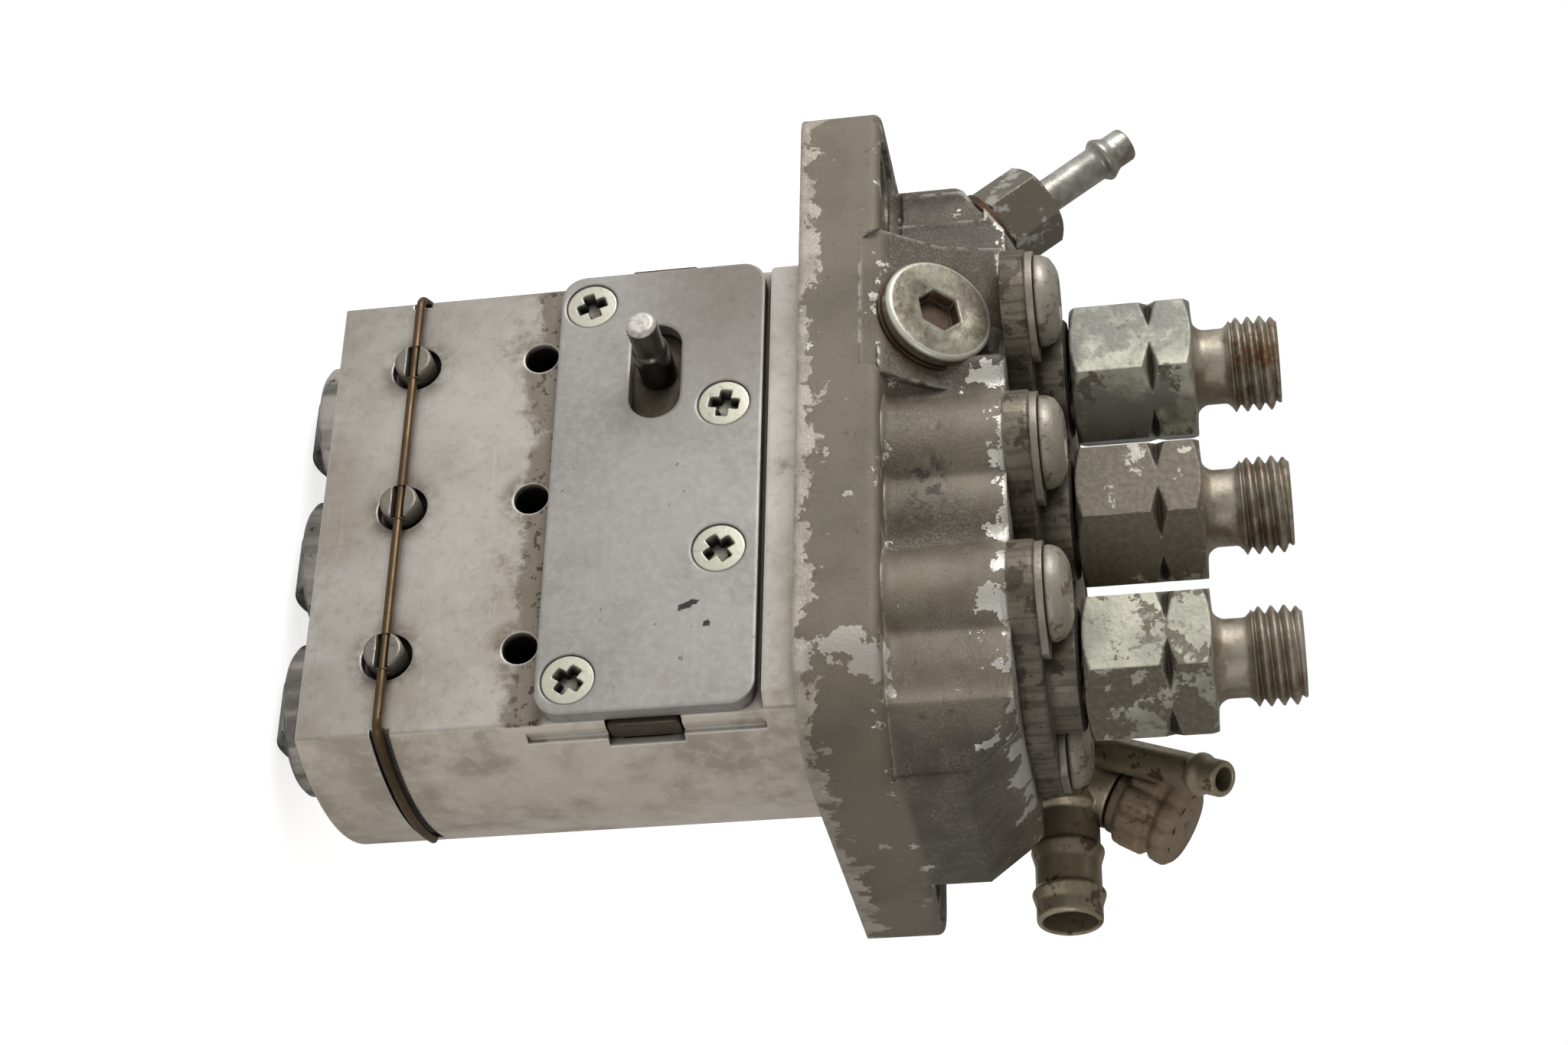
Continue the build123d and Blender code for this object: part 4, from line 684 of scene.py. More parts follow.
def plug_finish():
    """Gallery plug: speckled plate, a darker side, a bright edge and a rusty socket."""
    f = Finish("plug_plate_and_rust")
    reach, out = f.about(PLUG_SEAT, PLUG_AXIS)
    patches = f.noise(260, 7, 0.7, seed=0.18)
    fine = f.noise(1500, 4, 0.6, seed=0.3)
    tone = f.mix(f.ramp(patches, 0.40, 0.62), (0.34, 0.325, 0.25), (0.17, 0.15, 0.11))
    speck = f.ramp(f.noise(800, 5, 0.7, seed=0.7), 0.58, 0.66)
    tone = f.mix(speck * 0.6, tone, (0.09, 0.06, 0.035))
    tone = f.mix(f.ramp(reach, 0.0024, 0.002) * 0.6, tone, (0.1, 0.08, 0.055))
    rim = f.ramp(out, 0.0064, 0.0067) * f.ramp(reach, 0.0018, 0.0022)
    tone = f.mix(rim * 0.8, tone, (0.7, 0.68, 0.6))
    socket = f.ramp(out, 0.0034, 0.0029) * f.ramp(reach, 0.0026, 0.0023)
    rust = f.mix(f.ramp(patches, 0.42, 0.6), (0.09, 0.045, 0.02), (0.03, 0.018, 0.01))
    tone = f.mix(socket * 0.95, tone, rust)
    normal, worn = f.edge(0.0004)
    tone = f.mix(worn * 0.6, tone, (0.62, 0.6, 0.52))
    return f.finish(tone, 0.38, f.blend(socket, 0.6, 0.1), f.bump(fine, 0.00004, normal))


def union_finish():
    """Return union: dark oily hexagon with a rubbed patch and a pale ridged pipe, with grime and painted
    shade in its corners.
    """
    f = Finish("union_zinc")
    reach = f.about(UNION_SEAT, UNION_AXIS)[0]
    patches = f.noise(300, 6, 0.68, seed=0.33)
    fine = f.noise(1600, 4, 0.6, seed=0.3)
    nut = f.mix(f.ramp(patches, 0.53, 0.62), (0.17, 0.15, 0.115), (0.44, 0.43, 0.39))
    pipe = f.mix(f.ramp(patches, 0.36, 0.64), (0.42, 0.41, 0.38), (0.25, 0.235, 0.20))
    tone = f.mix(f.ramp(reach, 0.0090, 0.0094), nut, pipe)
    tip = f.ramp(reach, 0.0185, 0.0205) * f.ramp(patches, 0.45, 0.6)
    tone = f.mix(tip * 0.6, tone, (0.2, 0.14, 0.09))
    normal, worn = f.edge(0.0003)
    tone = f.mix(worn * 0.45, tone, (0.42, 0.4, 0.34))
    # Corners darken towards the grime colour: grime and painted shade.
    nook = f.ramp(f.corner(0.0016), 0.2, 0.7)
    tone = f.mix(nook * 0.85, tone, setting("grime"))
    return f.finish(tone, 0.36, 0.7, f.bump(fine, 0.00004, normal))


BLACK = (0.012, 0.010, 0.008)
# Arguments of worn_metal: name, colour, grime and shade colour, roughness, metallic, dirt, spots; edge
# radius, edge colour, grain, corner reach, strength of the painted shade and dirt in corners; colour and
# level of the patches; streaks, their scale.
WORN_METALS = {
    # On the cover screws the corner darkening runs nearly to black: painted shade in the cross recesses.
    "zinc": (
        "screw_zinc", (0.54, 0.525, 0.43), BLACK, 0.33, 0.6, 0.15, 0.25,
        0.0002, (0.72, 0.70, 0.62), 0.00003, 0.0034, 0.99,
    ),
    # On the ground steel the long dark streaks along Z and the dark patches are partly stains and partly
    # painted reflection bands.
    "hard": (
        "ground_steel", (0.60, 0.57, 0.52), BLACK, 0.14, 1.0, 0.35, 0.3,
        0.0004, (0.9, 0.88, 0.84), 0.00001, 0.0012, 0.9, (0.14, 0.11, 0.085), 0.60, 0.6, 210,
    ),
    "pin": (
        "guide_pin_steel", (0.24, 0.22, 0.185), "grime", 0.36, 0.8, 0.5, 0.4,
        0.0003, (0.44, 0.42, 0.37), 0.00003, 0.0012, 0.9,
    ),
    "dark": (
        "dark_steel", (0.09, 0.07, 0.05), (0.02, 0.014, 0.009), 0.4, 0.7, 0.6, 0.5,
        0.0003, (0.24, 0.2, 0.15), 0.00004, 0.001,
    ),
    "wire": (
        "bronze_wire", (0.105, 0.066, 0.033), (0.02, 0.011, 0.006), 0.36, 0.75, 0.6, 0.4,
        0.0002, (0.3, 0.2, 0.11), 0.00002, 0.0009, 0.9,
    ),
    "fitting": (
        "fitting_brass", (0.38, 0.325, 0.225), BLACK, 0.28, 0.75, 0.6, 0.4,
        0.0003, (0.36, 0.32, 0.22), 0.00003, 0.002, 0.9, (0.10, 0.055, 0.03), 0.58,
    ),
    "rust": (
        "rusty_steel", (0.27, 0.205, 0.13), (0.035, 0.022, 0.014), 0.6, 0.35, 0.7, 0.6,
        0.0004, (0.36, 0.33, 0.27), 0.0001, 0.002, 0.9, "rust", 0.60,
    ),
    "clamp": (
        "clamp_plate_steel", (0.19, 0.165, 0.125), (0.035, 0.028, 0.02), 0.40, 0.55, 0.6, 0.5,
        0.0004, (0.50, 0.47, 0.41), 0.00006, 0.0024, 0.9, (0.05, 0.04, 0.028), 0.54, 0.5, 900,
    ),
    "lock": (
        "lock_plate_steel", (0.30, 0.27, 0.22), (0.035, 0.028, 0.02), 0.38, 0.6, 0.6, 0.5,
        0.0003, (0.60, 0.57, 0.50), 0.00004, 0.002, 0.85,
    ),
    "cap": (
        "cap_screw_steel", (0.34, 0.31, 0.255), "grime", 0.40, 0.45, 0.5, 0.6,
        0.0004, (0.52, 0.49, 0.43), 0.00005, 0.0018, 0.9, (0.17, 0.115, 0.08), 0.57,
    ),
    "copper": (
        "copper_ring", (0.085, 0.046, 0.024), "grime", 0.42, 0.75, 0.6, 0.5,
        0.0002, (0.22, 0.12, 0.065), 0.00003, 0.0010, 0.9,
    ),
    "rubber": (
        "ring_rubber", (0.03, 0.03, 0.03), (0.01, 0.01, 0.01), 0.6, 0.0, 0.3, 0.2,
        0.0001, None, 0.00002, 0.001,
    ),
    "spring": (
        "spring_steel", (0.30, 0.29, 0.27), "grime", 0.3, 0.85, 0.4, 0.3,
        0.0001, None, 0.00002, 0.001,
    ),
}
OWN_FINISHES = {
    "body": body_finish, "cover": cover_finish, "holder": holder_finish, "union": union_finish,
    "plug": plug_finish, "fork_pin": fork_pin_finish,
}
made = {}


def look(name):
    """A named material, made on first use and shared from then on."""
    if name not in made:
        if name in OWN_FINISHES:
            made[name] = OWN_FINISHES[name]()
        else:
            settings = {"grime": setting("grime"), "rust": setting("rust")}
            made[name] = worn_metal(*(settings.get(value, value) for value in WORN_METALS[name]))
    return made[name]


# Finish of each CAD node that keeps its own mesh, by the start of its name.
NODE_FINISHES = {
    "pump_body": "body",
    "cover_plate": "cover",
    "plunger_barrel": "clamp",
    "lock_plates": "lock",
    "barrel_o_rings": "rubber",
    "plug_washer": "copper",
    "union_washer": "copper",
    "inlet_washer": "copper",
    "control_rack": "dark",
    "control_sleeve": "dark",
    "valve_seat": "hard",
    "delivery_valve": "hard",
    "plunger_spring": "spring",
    "valve_spring": "spring",
    "plunger": "hard",
    "tappet_roller": "hard",
    "tappet": "hard",
    "roller_pin": "dark",
    "upper_spring_seat": "dark",
    "lower_spring_seat": "dark",
}


class PUMP_OT_node_finishes(bpy.types.Operator):
    """Gives every solid that keeps its own mesh its worked finish"""

    bl_idname = "pump.node_finishes"
    bl_label = "Finish the solids"

    def execute(self, context):
        for name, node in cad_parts.items():
            starts = [start for start in NODE_FINISHES if name.startswith(start)]
            if not starts:
                continue
            material = look(NODE_FINISHES[max(starts, key=len)])
            if node.material_slots:
                for one in node.material_slots:
                    one.material = material
            else:
                node.data.materials.append(material)
        return {"FINISHED"}


class PUMP_OT_casting_skin(bpy.types.Operator):
    """Cast front of the upper casting, one soft wave over the bulges of three barrels"""

    bl_idname = "pump.casting_skin"
    bl_label = "Casting skin"

    def front(self, x, z):
        """y(x, z) = -log(sum exp(-k y_i)) / k, k = 1.9, the soft minimum of the flat front, of
        the bulges' circles y_i = c - sqrt(r^2 - (x - a)^2), of the slope down to the right
        shoulder and of the fillet y = -19.6 + 0.55 (z - 10) + 0.22 (|x + 13| - 1.5)^2 that
        carries the plug's boss."""
        lines = [np.where(x < 32.5, -15.5, -8.0 - np.clip(38.5 - x, 0, 6) * 1.25) + 0 * z]
        for station in STATIONS.values():
            for a, c, r in ((station - 3.0, -13.2, 6.3), (station + 5.6, -10.6, 6.2)):
                inside = r**2 - (x - a) ** 2
                lines.append(np.where(inside > 0, c - np.sqrt(np.maximum(inside, 0)), 0.0) + 0 * z)
        lines.append(-19.6 + 0.55 * (z - 10.0) + 0.22 * np.clip(np.abs(x + 13.0) - 1.5, 0, 20) ** 2)
        k = 1.9
        sunk = 1.6 * (np.clip((x - 36.3) / 2.0, 0, 1) ** 2 + np.clip((-13.6 - x) / 1.4, 0, 1) ** 2)
        return -np.log(np.sum(np.exp(-k * np.array(lines)), axis=0)) / k - 0.05 + sunk

    def execute(self, context):
        x = np.linspace(-15.0, 38.3, 280)[:, None]
        top = np.interp(x, [32.3, 34.1, 38.5], [CASTING_TOP - 0.05, 23.25, 17.75])
        t = np.linspace(0, 1, 60)[None, :]
        z = 9.7 + t * (top - 9.7)
        y = self.front(x, z)
        foot = 1.6 * (1 - np.sqrt(1 - np.clip(1 - (z - 9.9) / 1.6, 0, 1) ** 2 * 0.98))
        head = 0.9 * (1 - np.sqrt(1 - np.clip(1 - (top - z) / 0.9, 0, 1) ** 2 * 0.98))
        surface = np.maximum(y - foot, -21.2) + head
        skin = np.stack([x + 0 * z, surface, z], axis=-1)
        behind = y + 1.2
        behind = np.maximum(behind + (-7.6 - behind) * np.clip((x - 29.5) / 2.5, 0, 1), surface + 0.2)
        back = np.stack([x + 0 * z, behind, z], axis=-1)[:, ::-1]
        add_piece(
            "cast_front", closed_grid(np.concatenate([skin, back], axis=1)), look("body"), "housing",
            [], 40.0,
        )
        return {"FINISHED"}


class PUMP_OT_valve_holders(bpy.types.Operator):
    """Hexagonal valve holders with notched corners, a neck and the pipe thread"""

    bl_idname = "pump.valve_holders"
    bl_label = "Valve holders"

    def surface(self, x, sizes):
        """r(a, z) is the hexagon a / cos(a), cut by the chamfer cones and, at height zn, by
        V notches square to each corner; above it the thread's r = R - d |saw(z / p - a / 2 pi)|."""
        across, bottom, top, notch_z = 17.0, 32.0, 47.1, 41.9
        corner = across / math.sqrt(3)
        steps = sizes.round_steps
        angle = round_angles(steps)[None, :]
        flats = hexagon_radius(angle, across)
        z = np.concatenate([
            np.linspace(bottom, bottom + 1.2, 9),
            np.linspace(bottom + 1.6, notch_z - 1.7, 5),
            np.linspace(notch_z - 1.4, notch_z + 1.4, 19),
            np.linspace(notch_z + 1.8, top - 1.5, 4),
            np.linspace(top - 1.2, top, 11),
        ])[:, None]
        cone = corner - 1.35 + np.minimum(z - bottom, top - z) * 1.75
        notch = corner - 1.9 + np.abs(z - notch_z) * (2.3 / 1.26)
        away = np.mod(angle + math.pi / 6, math.pi / 3) - math.pi / 6
        body = np.minimum(np.minimum(flats, cone), notch / np.cos(away))

        neck = corner_rounded([(7.9, 47.1), (5.5, 47.25), (4.75, 48.2), (4.75, 51.0), (5.2, 51.4)], 0.5, 5)
        pitch, depth = sizes.thread_pitch * 1000, sizes.thread_depth * 1000
        zt = np.linspace(51.5, 57.7, 72)[:, None]
        phase = np.mod(zt / pitch - angle / (2 * math.pi), 1.0)
        groove = np.clip(np.abs(2 * phase - 1) * 1.35 - 0.2, 0, 1)
        fade = np.clip((zt - 51.5) / 0.7, 0, 1) * np.clip((57.6 - zt) / 0.6, 0, 1)
        thread = np.minimum(5.95, 62.75 - zt) - depth * groove * fade
        thread = np.minimum(thread, 5.25 + (zt - 51.5) * 1.6)
        mouth = corner_rounded([(5.0, 57.7), (3.75, 57.7), (3.6, 57.6), (1.25, 53.55), (1.2, 49.0)], 0.2, 4)
        radii = [[[3.0]], body, neck[:, :1], thread, mouth[:, :1]]
        return shell(radii, [[[bottom]], z, neck[:, 1:], zt, mouth[:, 1:]], upright(x), steps)

    def execute(self, context):
        sizes = context.scene.pump_sizes
        for tag, x in STATIONS.items():
            add_piece(
                "holder_" + tag, self.surface(x, sizes), look("holder"), "housing",
                ["valve_holder_" + tag], 30.0,
            )
        return {"FINISHED"}


class PUMP_OT_overflow_union(bpy.types.Operator):
    """Return union with a hexagon and a ridged hose pipe"""

    bl_idname = "pump.overflow_union"
    bl_label = "Return union"

    def execute(self, context):
        where = frame_along(UNION_SEAT, UNION_AXIS, (0, 1, 0))
        steps = context.scene.pump_sizes.round_steps
        angle = round_angles(steps)[None, :]
        z = np.r_[np.linspace(1.0, 2.0, 7), np.linspace(2.4, 7.4, 5), np.linspace(7.6, 8.9, 11)][:, None]
        across = 10.0
        corner = across / math.sqrt(3)
        cone = np.minimum(corner - 0.55 + (z - 1.0) * 1.4, corner - 1.1 + (8.9 - z) * 1.7)
        nut = np.minimum(hexagon_radius(angle, across), cone)
        pipe = corner_rounded(
            [(4.4, 8.9), (2.9, 9.0), (2.3, 9.6), (2.3, 18.0), (3.0, 18.7), (3.0, 19.1), (2.3, 20.4),
             (2.3, 22.7), (2.05, 23.0), (1.55, 23.0), (1.5, 22.8), (1.5, 12.0)],
            0.35, 5,
        )
        surface = shell([[[2.0]], nut, pipe[:, :1]], [[[1.0]], z, pipe[:, 1:]], where, steps)
        add_piece(
            "return_union", surface, look("union"), "housing", ["overflow_union"], 30.0
        )
        return {"FINISHED"}


class PUMP_OT_inlet_union(bpy.types.Operator):
    """Upright inlet body with its hose barb, its bleed pipe and the vent screw's seat"""

    bl_idname = "pump.inlet_union"
    bl_label = "Inlet union"

    def execute(self, context):
        body = corner_rounded(
            [(0.5, 20.5), (6.3, 20.5), (6.5, 20.8), (6.5, 28.6), (5.4, 30.7), (0.5, 31.0)], 1.2, 6
        )
        seat = corner_rounded([(0.5, -15.0), (4.6, -15.0), (4.6, -4.2), (2.0, -4.2)], 0.4, 4)
        barb = corner_rounded(
            [(0.5, 0.0), (5.05, 0.0), (5.05, 7.6), (4.15, 8.2), (4.15, 12.3), (4.7, 12.8), (4.15, 14.7),
             (4.15, 18.1), (4.7, 18.6), (4.15, 20.3), (4.15, 22.2), (3.9, 22.5), (3.5, 22.5), (3.4, 22.3),
             (3.4, 8.0)],
            0.35, 5,
        )
        way = frame_along((19.7, 26.5, 26.9), (1, 0, 0), (0, 1, 0))
        bleed = corner_rounded(
            [(0.5, -22.5), (2.25, -22.5), (2.25, -4.6), (2.65, -4.1), (2.65, -3.5), (2.25, -2.6),
             (2.25, -0.3), (2.0, 0.0), (1.55, 0.0), (1.45, -0.2), (1.45, -9.0)],
            0.3, 4,
        )
        slant = frame_along((30.9, 12.0, 47.1), (0.482, -0.478, 0.734), (0, 0, 1))
        surface = joined(
            turned(body, upright(19.7, 26.5)), turned(seat, VENT), turned(barb, way), turned(bleed, slant)
        )
        add_piece(
            "inlet_body", surface, look("fitting"), "housing", ["inlet_union"], 34.0
        )
        return {"FINISHED"}


class PUMP_OT_vent_knob(bpy.types.Operator):
    """Fluted head of the vent screw"""

    bl_idname = "pump.vent_knob"
    bl_label = "Vent screw"

    def execute(self, context):
        profile = corner_rounded(
            [(0.5, -10.0), (2.5, -10.0), (2.5, -3.9), (4.7, -3.9), (4.7, -2.4), (5.4, -2.4), (5.7, -2.0),
             (5.7, 1.2), (5.0, 1.8), (5.0, 2.4), (5.7, 3.0), (5.7, 4.4), (4.7, 5.4), (0.5, 5.75)],
            0.35, 4,
        )
        add_piece(
            "vent_screw_head", turned(refined(profile, 0.5), VENT, 120, 10, 0.55, -2.3, 5.3),
            look("rust"), "vent_screw", ["vent_knob"], 34.0,
        )
        return {"FINISHED"}


def socket_head(rim, hexagon, depth, face, where, steps=96, turn=0.0):
    """Head with a hexagon socket: the floor, the wall r = a / cos(a), the face out to the
    head's edge and the rim profile back down, all as one grid."""
    angle = round_angles(steps)[None, :]
    wall = hexagon_radius(angle, hexagon, turn)
    top = face[0][1]
    down = np.asarray(rim, float)
    out = np.asarray(face, float)[::-1]
    radii = [down[:, :1], out[:, :1], wall + 0.22, wall, wall, wall * 0.6]
    sunk = np.array([[0], [0.2], [depth], [depth + 0.25]])
    return shell(radii, [down[:, 1:], out[:, 1:], top - sunk], where, steps)


class PUMP_OT_gallery_plug(bpy.types.Operator):
    """Flat plug with a hexagon socket on the slanted boss"""

    bl_idname = "pump.gallery_plug"
    bl_label = "Gallery plug"

    def execute(self, context):
        where = frame_along(PLUG_SEAT, PLUG_AXIS, (1, 0, 0))
        rim = corner_rounded([(3.0, 0.6), (6.9, 0.6), (7.1, 0.8), (7.1, 2.3), (6.7, 2.62)], 0.4, 5)
        face = [(3.2, 2.55), (3.7, 2.62), (4.6, 2.68), (6.2, 2.68), (6.55, 2.64)]
        surface = socket_head(rim, 5.0, 2.6, face, where, 120, math.radians(12))
        add_piece(
            "plug_head", surface, look("plug"), "housing", ["gallery_plug"], 30.0
        )
        return {"FINISHED"}


class PUMP_OT_barrel_screws(bpy.types.Operator):
    """Domed screws with hexagon sockets that clamp the barrels"""

    bl_idname = "pump.barrel_screws"
    bl_label = "Barrel screws"

    def execute(self, context):
        heads = []
        for number, x in enumerate(STATIONS.values()):
            for side in (-1, 1):
                where = upright(x + side * 3.0, side * 13.2, LOCK_TOP)
                rim = corner_rounded([(3.0, 0.0), (5.5, 0.0), (5.7, 0.2), (5.7, 0.9), (5.25, 1.9)], 0.3, 4)
                out = np.linspace(5.15, 3.3, 9)
                face = np.stack([out, 3.0 - 1.05 * ((out - 2.6) / 2.6) ** 2], axis=1)[::-1]
                heads.append(socket_head(rim, 5.0, 2.1, face, where, 96, 0.35 * number + 0.2 * side))
        add_piece(
            "clamp_screws", joined(*heads), look("cap"), "housing", ["barrel_screws"]
        )
        return {"FINISHED"}


class PUMP_OT_cover_screws(bpy.types.Operator):
    """Countersunk screws of the cover with a cross recess"""

    bl_idname = "pump.cover_screws"
    bl_label = "Cover screws"

    def execute(self, context):
        depth = context.scene.pump_sizes.recess_depth * 1000
        heads = []
        for x, z, degrees in COVER_SCREWS:
            turn = math.radians(degrees)

            def relief(u, v, turn=turn):
                """Height 0.1 (1 - (r/R)^2) of the dome less the deeper of two wings."""
                a = u * math.cos(turn) + v * math.sin(turn)
                b = -u * math.sin(turn) + v * math.cos(turn)
                first = np.clip((1.95 - np.abs(a)) / 0.5, 0, 1) * np.clip((0.74 - np.abs(b)) / 0.16, 0, 1)
                second = np.clip((1.95 - np.abs(b)) / 0.5, 0, 1) * np.clip((0.74 - np.abs(a)) / 0.16, 0, 1)
                dome = -0.12 * ((u**2 + v**2) / 3.05**2)
                return dome - depth * np.maximum(first, second)

            where = frame_along((x, COVER_FACE_Y, z), (0, -1, 0), (1, 0, 0))
            rim = [(1.6, -1.6), (3.1, -0.35), (3.2, -0.25), (3.2, -0.17)]
            heads.append(disc_relief(relief, 3.1, where, rim))
        add_piece(
            "cross_screws", joined(*heads), look("zinc"), "housing", ["cover_screws"], 40.0
        )
        return {"FINISHED"}


class PUMP_OT_guide_pins(bpy.types.Operator):
    """Tappet guide pins with the slot that the wire lies in"""

    bl_idname = "pump.guide_pins"
    bl_label = "Guide pins"

    def execute(self, context):
        pins = []
        for x in STATIONS.values():
            where = frame_along((x, BLOCK_FRONT_Y, PIN_Z), (0, -1, 0), (1, 0, 0))

            def relief(u, v):
                """Flat face less a slot along the wire, with a rounded outer edge."""
                slot = np.clip((0.78 - np.abs(v)) / 0.1, 0, 1)
                edge = np.clip((np.hypot(u, v) - 2.05) / 0.35, 0, 1) ** 2
                return -0.25 * edge - 1.55 * slot

            rim = [(2.3, -7.9), (2.4, -7.7), (2.4, -0.6), (2.4, -0.32)]
            pins.append(disc_relief(relief, 2.38, where, rim, 36, 84))
        add_piece(
            "slotted_pins", joined(*pins), look("pin"), "housing", ["guide_pins"], 34.0
        )
        return {"FINISHED"}


class PUMP_OT_lock_wire(bpy.types.Operator):
    """Wire across the pins and round both sides of the block"""

    bl_idname = "pump.lock_wire"
    bl_label = "Lock wire"

    def execute(self, context):
        # The block's rounded side is an arc over its depth, from its corner out to its middle
        middle, corner, half_depth = 34.8, 31.4, 14.5
        wire, bend_r, tail_y = 0.6, 2.0, 9.4
        sag = middle - corner
        side_r = (half_depth**2 + sag**2) / (2 * sag)
        centre = middle - side_r
        circle = side_r + 0.25
        front = BLOCK_FRONT_Y + 1.6 - wire
        bend_y = front + bend_r
        bend_x = centre + math.sqrt((circle - bend_r) ** 2 - bend_y**2)
        bend = math.atan2(bend_y, bend_x - centre)
        a = np.linspace(math.asin(tail_y / circle), bend, 60)
        side = np.stack([centre + circle * np.cos(a), circle * np.sin(a)], axis=1)
        b = np.linspace(bend, -math.pi / 2, 14)[1:]
        turn = np.stack([bend_x + bend_r * np.cos(b), bend_y + bend_r * np.sin(b)], axis=1)
        half = np.vstack([side, turn])
        span = np.stack([np.linspace(bend_x, -bend_x, 60)[1:-1], np.full(58, front)], axis=1)
        flat = np.vstack([half, span, half[::-1] * (-1.0, 1.0)])
        path = np.column_stack([flat, np.full(len(flat), PIN_Z)])
        add_piece(
            "pin_wire", tube(path, wire), look("wire"), "housing", ["lock_wire"], 50.0
        )
        return {"FINISHED"}


class PUMP_OT_rack_pin(bpy.types.Operator):
    """Stepped pin that the governor's fork takes hold of"""

    bl_idname = "pump.rack_pin"
    bl_label = "Rack pin"

    def execute(self, context):
        where = frame_along((-17.0, 0, RACK_Z), (0, -1, 0), (1, 0, 0))
        profile = corner_rounded(
            [(0.5, 12.1), (1.5, 12.1), (1.5, 14.2), (2.3, 14.2), (2.3, 20.15), (1.95, 20.5), (1.95, 25.1),
             (1.45, 25.6), (0.3, 25.6)],
            0.25, 4,
        )
        pin = turned(profile, where, 64)
        add_piece("fork_pin", pin, look("fork_pin"), "rack", ["rack_pin"], 34.0)
        return {"FINISHED"}


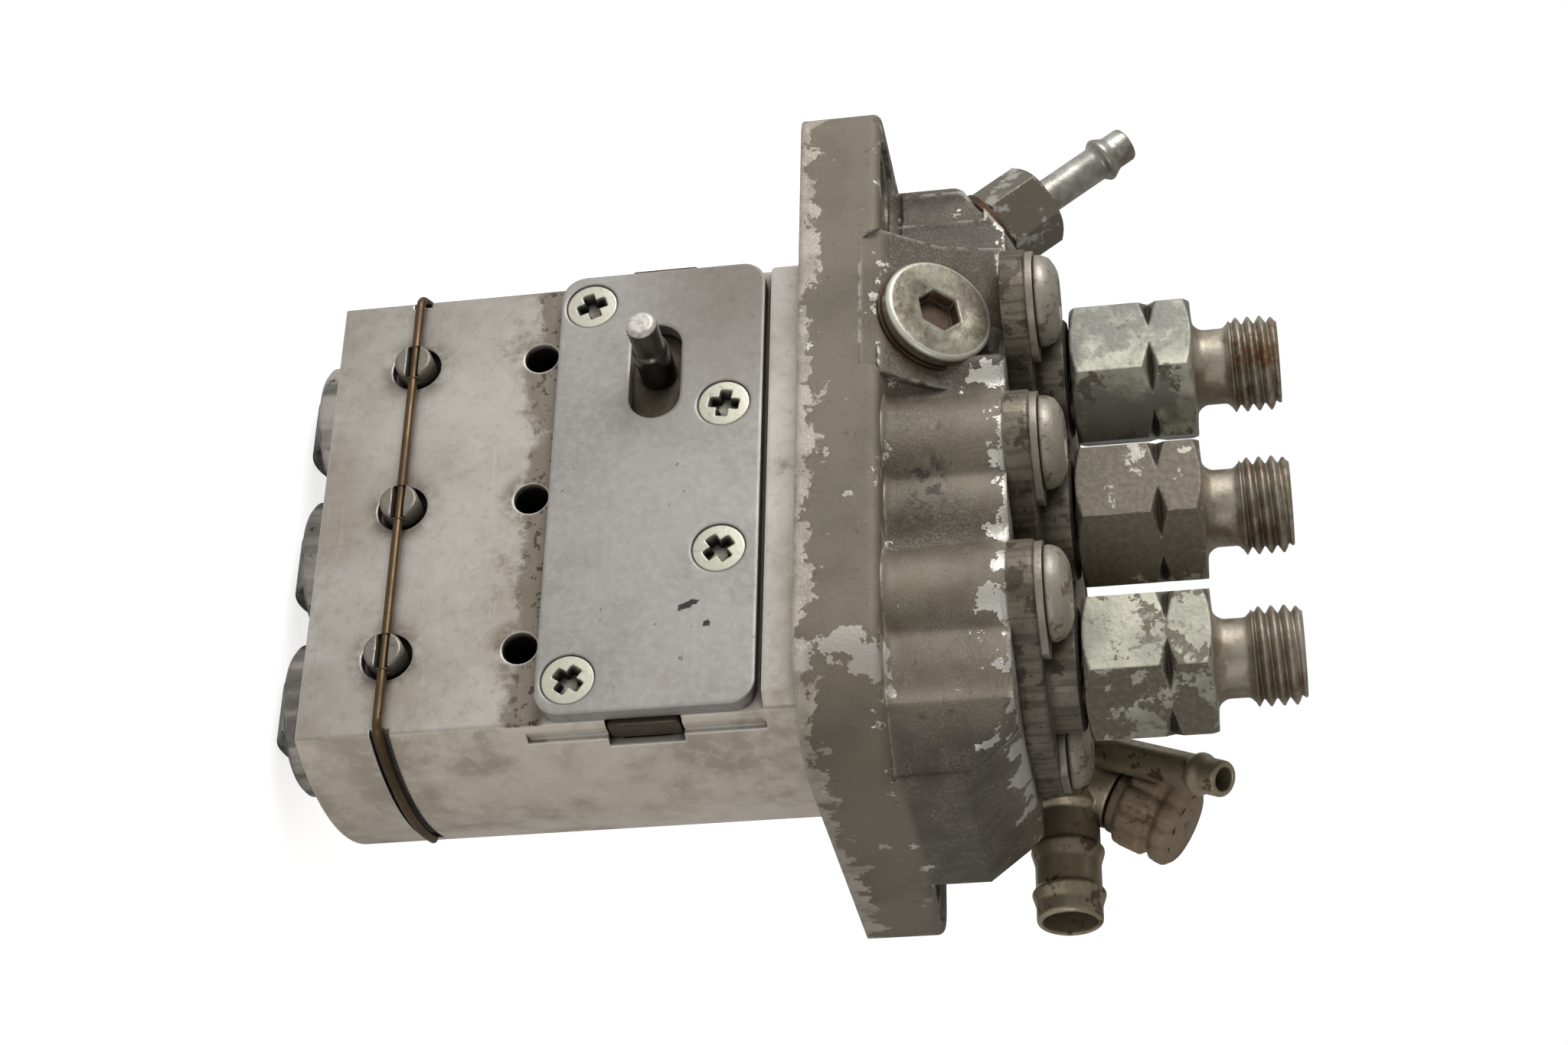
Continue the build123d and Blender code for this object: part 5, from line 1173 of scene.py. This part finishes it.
class PUMP_OT_stage(bpy.types.Operator):
    """Pale floor, white surroundings, soft lamps and the camera"""

    bl_idname = "pump.stage"
    bl_label = "Stage"

    def floor(self):
        """Large pale floor under the rollers that stays white where no shadow falls."""
        mesh = bpy.data.meshes.new("studio_floor")
        size, level = 6.0, -0.0686
        mesh.from_pydata(
            [(-size, -size, level), (size, -size, level), (size, size, level), (-size, size, level)],
            [], [(0, 1, 2, 3)],
        )
        material = bpy.data.materials.new("studio_floor")
        tree = Nodes(material)
        diffuse = tree.add("BsdfDiffuse", [("Color", (0.9, 0.9, 0.9))])
        seen = Value(tree, tree.add("LightPath").outputs["Is Camera Ray"])
        glow = tree.add("Emission", [("Strength", seen * 0.75)])
        both = tree.add("AddShader", [(0, diffuse.outputs[0]), (1, glow.outputs[0])])
        tree.add("OutputMaterial", [("Surface", both.outputs[0])])
        mesh.materials.append(material)
        floor = bpy.data.objects.new("studio_floor", mesh)
        bpy.context.scene.collection.objects.link(floor)

    def world(self):
        """White to the camera, a plain level to the rest."""
        world = bpy.data.worlds.new("studio")
        bpy.context.scene.world = world
        tree = Nodes(world)
        path = tree.add("LightPath").outputs
        seen = tree.most(path["Is Camera Ray"], path["Is Transmission Ray"])
        soft = tree.add("Background", [("Color", (1, 0.985, 0.96)), ("Strength", 0.36)])
        white = tree.add("Background", [("Color", (1, 1, 1)), ("Strength", 1.0)])
        mix = tree.add("MixShader", [(0, seen), (1, soft.outputs[0]), (2, white.outputs[0])])
        tree.add("OutputWorld", [("Surface", mix.outputs[0])])

    def lamp(self, name, spot, size, power):
        """Soft square lamp that looks at the block's middle."""
        light = bpy.data.lights.new(name, "AREA")
        light.size = size
        light.energy = power
        lamp = bpy.data.objects.new(name, light)
        spot, turn = frame_along(spot, np.subtract(spot, (0, -0.001 * SEAT_Y, 0)), (0, 0, 1))
        lamp.matrix_world = Matrix.Translation(spot.tolist()) @ Matrix(turn.tolist()).to_4x4()
        bpy.context.scene.collection.objects.link(lamp)

    def camera(self):
        """Camera fitted to the photograph's angle."""
        data = bpy.data.cameras.new("photo_camera")
        data.lens = 64.69496
        data.sensor_width = 36.0
        data.clip_start, data.clip_end = 0.01, 50.0
        camera = bpy.data.objects.new("photo_camera", data)
        camera.matrix_world = Matrix((
            (-0.01830499, -0.85123824, 0.52446008, 0.18349062),
            (0.17449009, -0.51921793, -0.83663968, -0.32419541),
            (0.98448877, 0.07619841, 0.15803692, 0.05087361),
            (0, 0, 0, 1),
        ))
        bpy.context.scene.collection.objects.link(camera)
        bpy.context.scene.camera = camera

    def execute(self, context):
        self.floor()
        self.world()
        self.camera()
        self.lamp("key_lamp", (-0.62, -0.72, 0.30), 0.5, 7.6)
        self.lamp("fill_lamp", (0.80, -0.42, -0.05), 0.6, 2.2)
        context.scene.view_settings.view_transform = "Standard"
        return {"FINISHED"}


class PUMP_PT_panel(bpy.types.Panel):
    """Lists the steps that dress the pump."""

    bl_idname = "PUMP_PT_panel"
    bl_label = "Injection pump"
    bl_space_type = "VIEW_3D"
    bl_region_type = "UI"
    bl_category = "Injection pump"

    def draw(self, context):
        for group in (context.scene.pump_sizes, context.scene.pump_colours):
            for name in group.bl_rna.properties.keys():
                if name not in ("rna_type", "name"):
                    self.layout.prop(group, name)
        for operator in OPERATORS:
            self.layout.operator(operator.bl_idname)


OPERATORS = (
    PUMP_OT_node_finishes,
    PUMP_OT_casting_skin,
    PUMP_OT_valve_holders,
    PUMP_OT_overflow_union,
    PUMP_OT_inlet_union,
    PUMP_OT_vent_knob,
    PUMP_OT_gallery_plug,
    PUMP_OT_barrel_screws,
    PUMP_OT_cover_screws,
    PUMP_OT_guide_pins,
    PUMP_OT_lock_wire,
    PUMP_OT_rack_pin,
    PUMP_OT_stage,
)
CLASSES = (PumpSizes, PumpColours, *OPERATORS, PUMP_PT_panel)


def register():
    for one in CLASSES:
        bpy.utils.register_class(one)
    bpy.types.Scene.pump_sizes = PointerProperty(type=PumpSizes)
    bpy.types.Scene.pump_colours = PointerProperty(type=PumpColours)


def unregister():
    del bpy.types.Scene.pump_colours
    del bpy.types.Scene.pump_sizes
    for one in reversed(CLASSES):
        bpy.utils.unregister_class(one)


def main():
    register()
    bpy.ops.pump.node_finishes()
    bpy.ops.pump.casting_skin()
    bpy.ops.pump.valve_holders()
    bpy.ops.pump.overflow_union()
    bpy.ops.pump.inlet_union()
    bpy.ops.pump.vent_knob()
    bpy.ops.pump.gallery_plug()
    bpy.ops.pump.barrel_screws()
    bpy.ops.pump.cover_screws()
    bpy.ops.pump.guide_pins()
    bpy.ops.pump.lock_wire()
    bpy.ops.pump.rack_pin()
    bpy.ops.pump.stage()


if __name__ == "__main__":
    main()
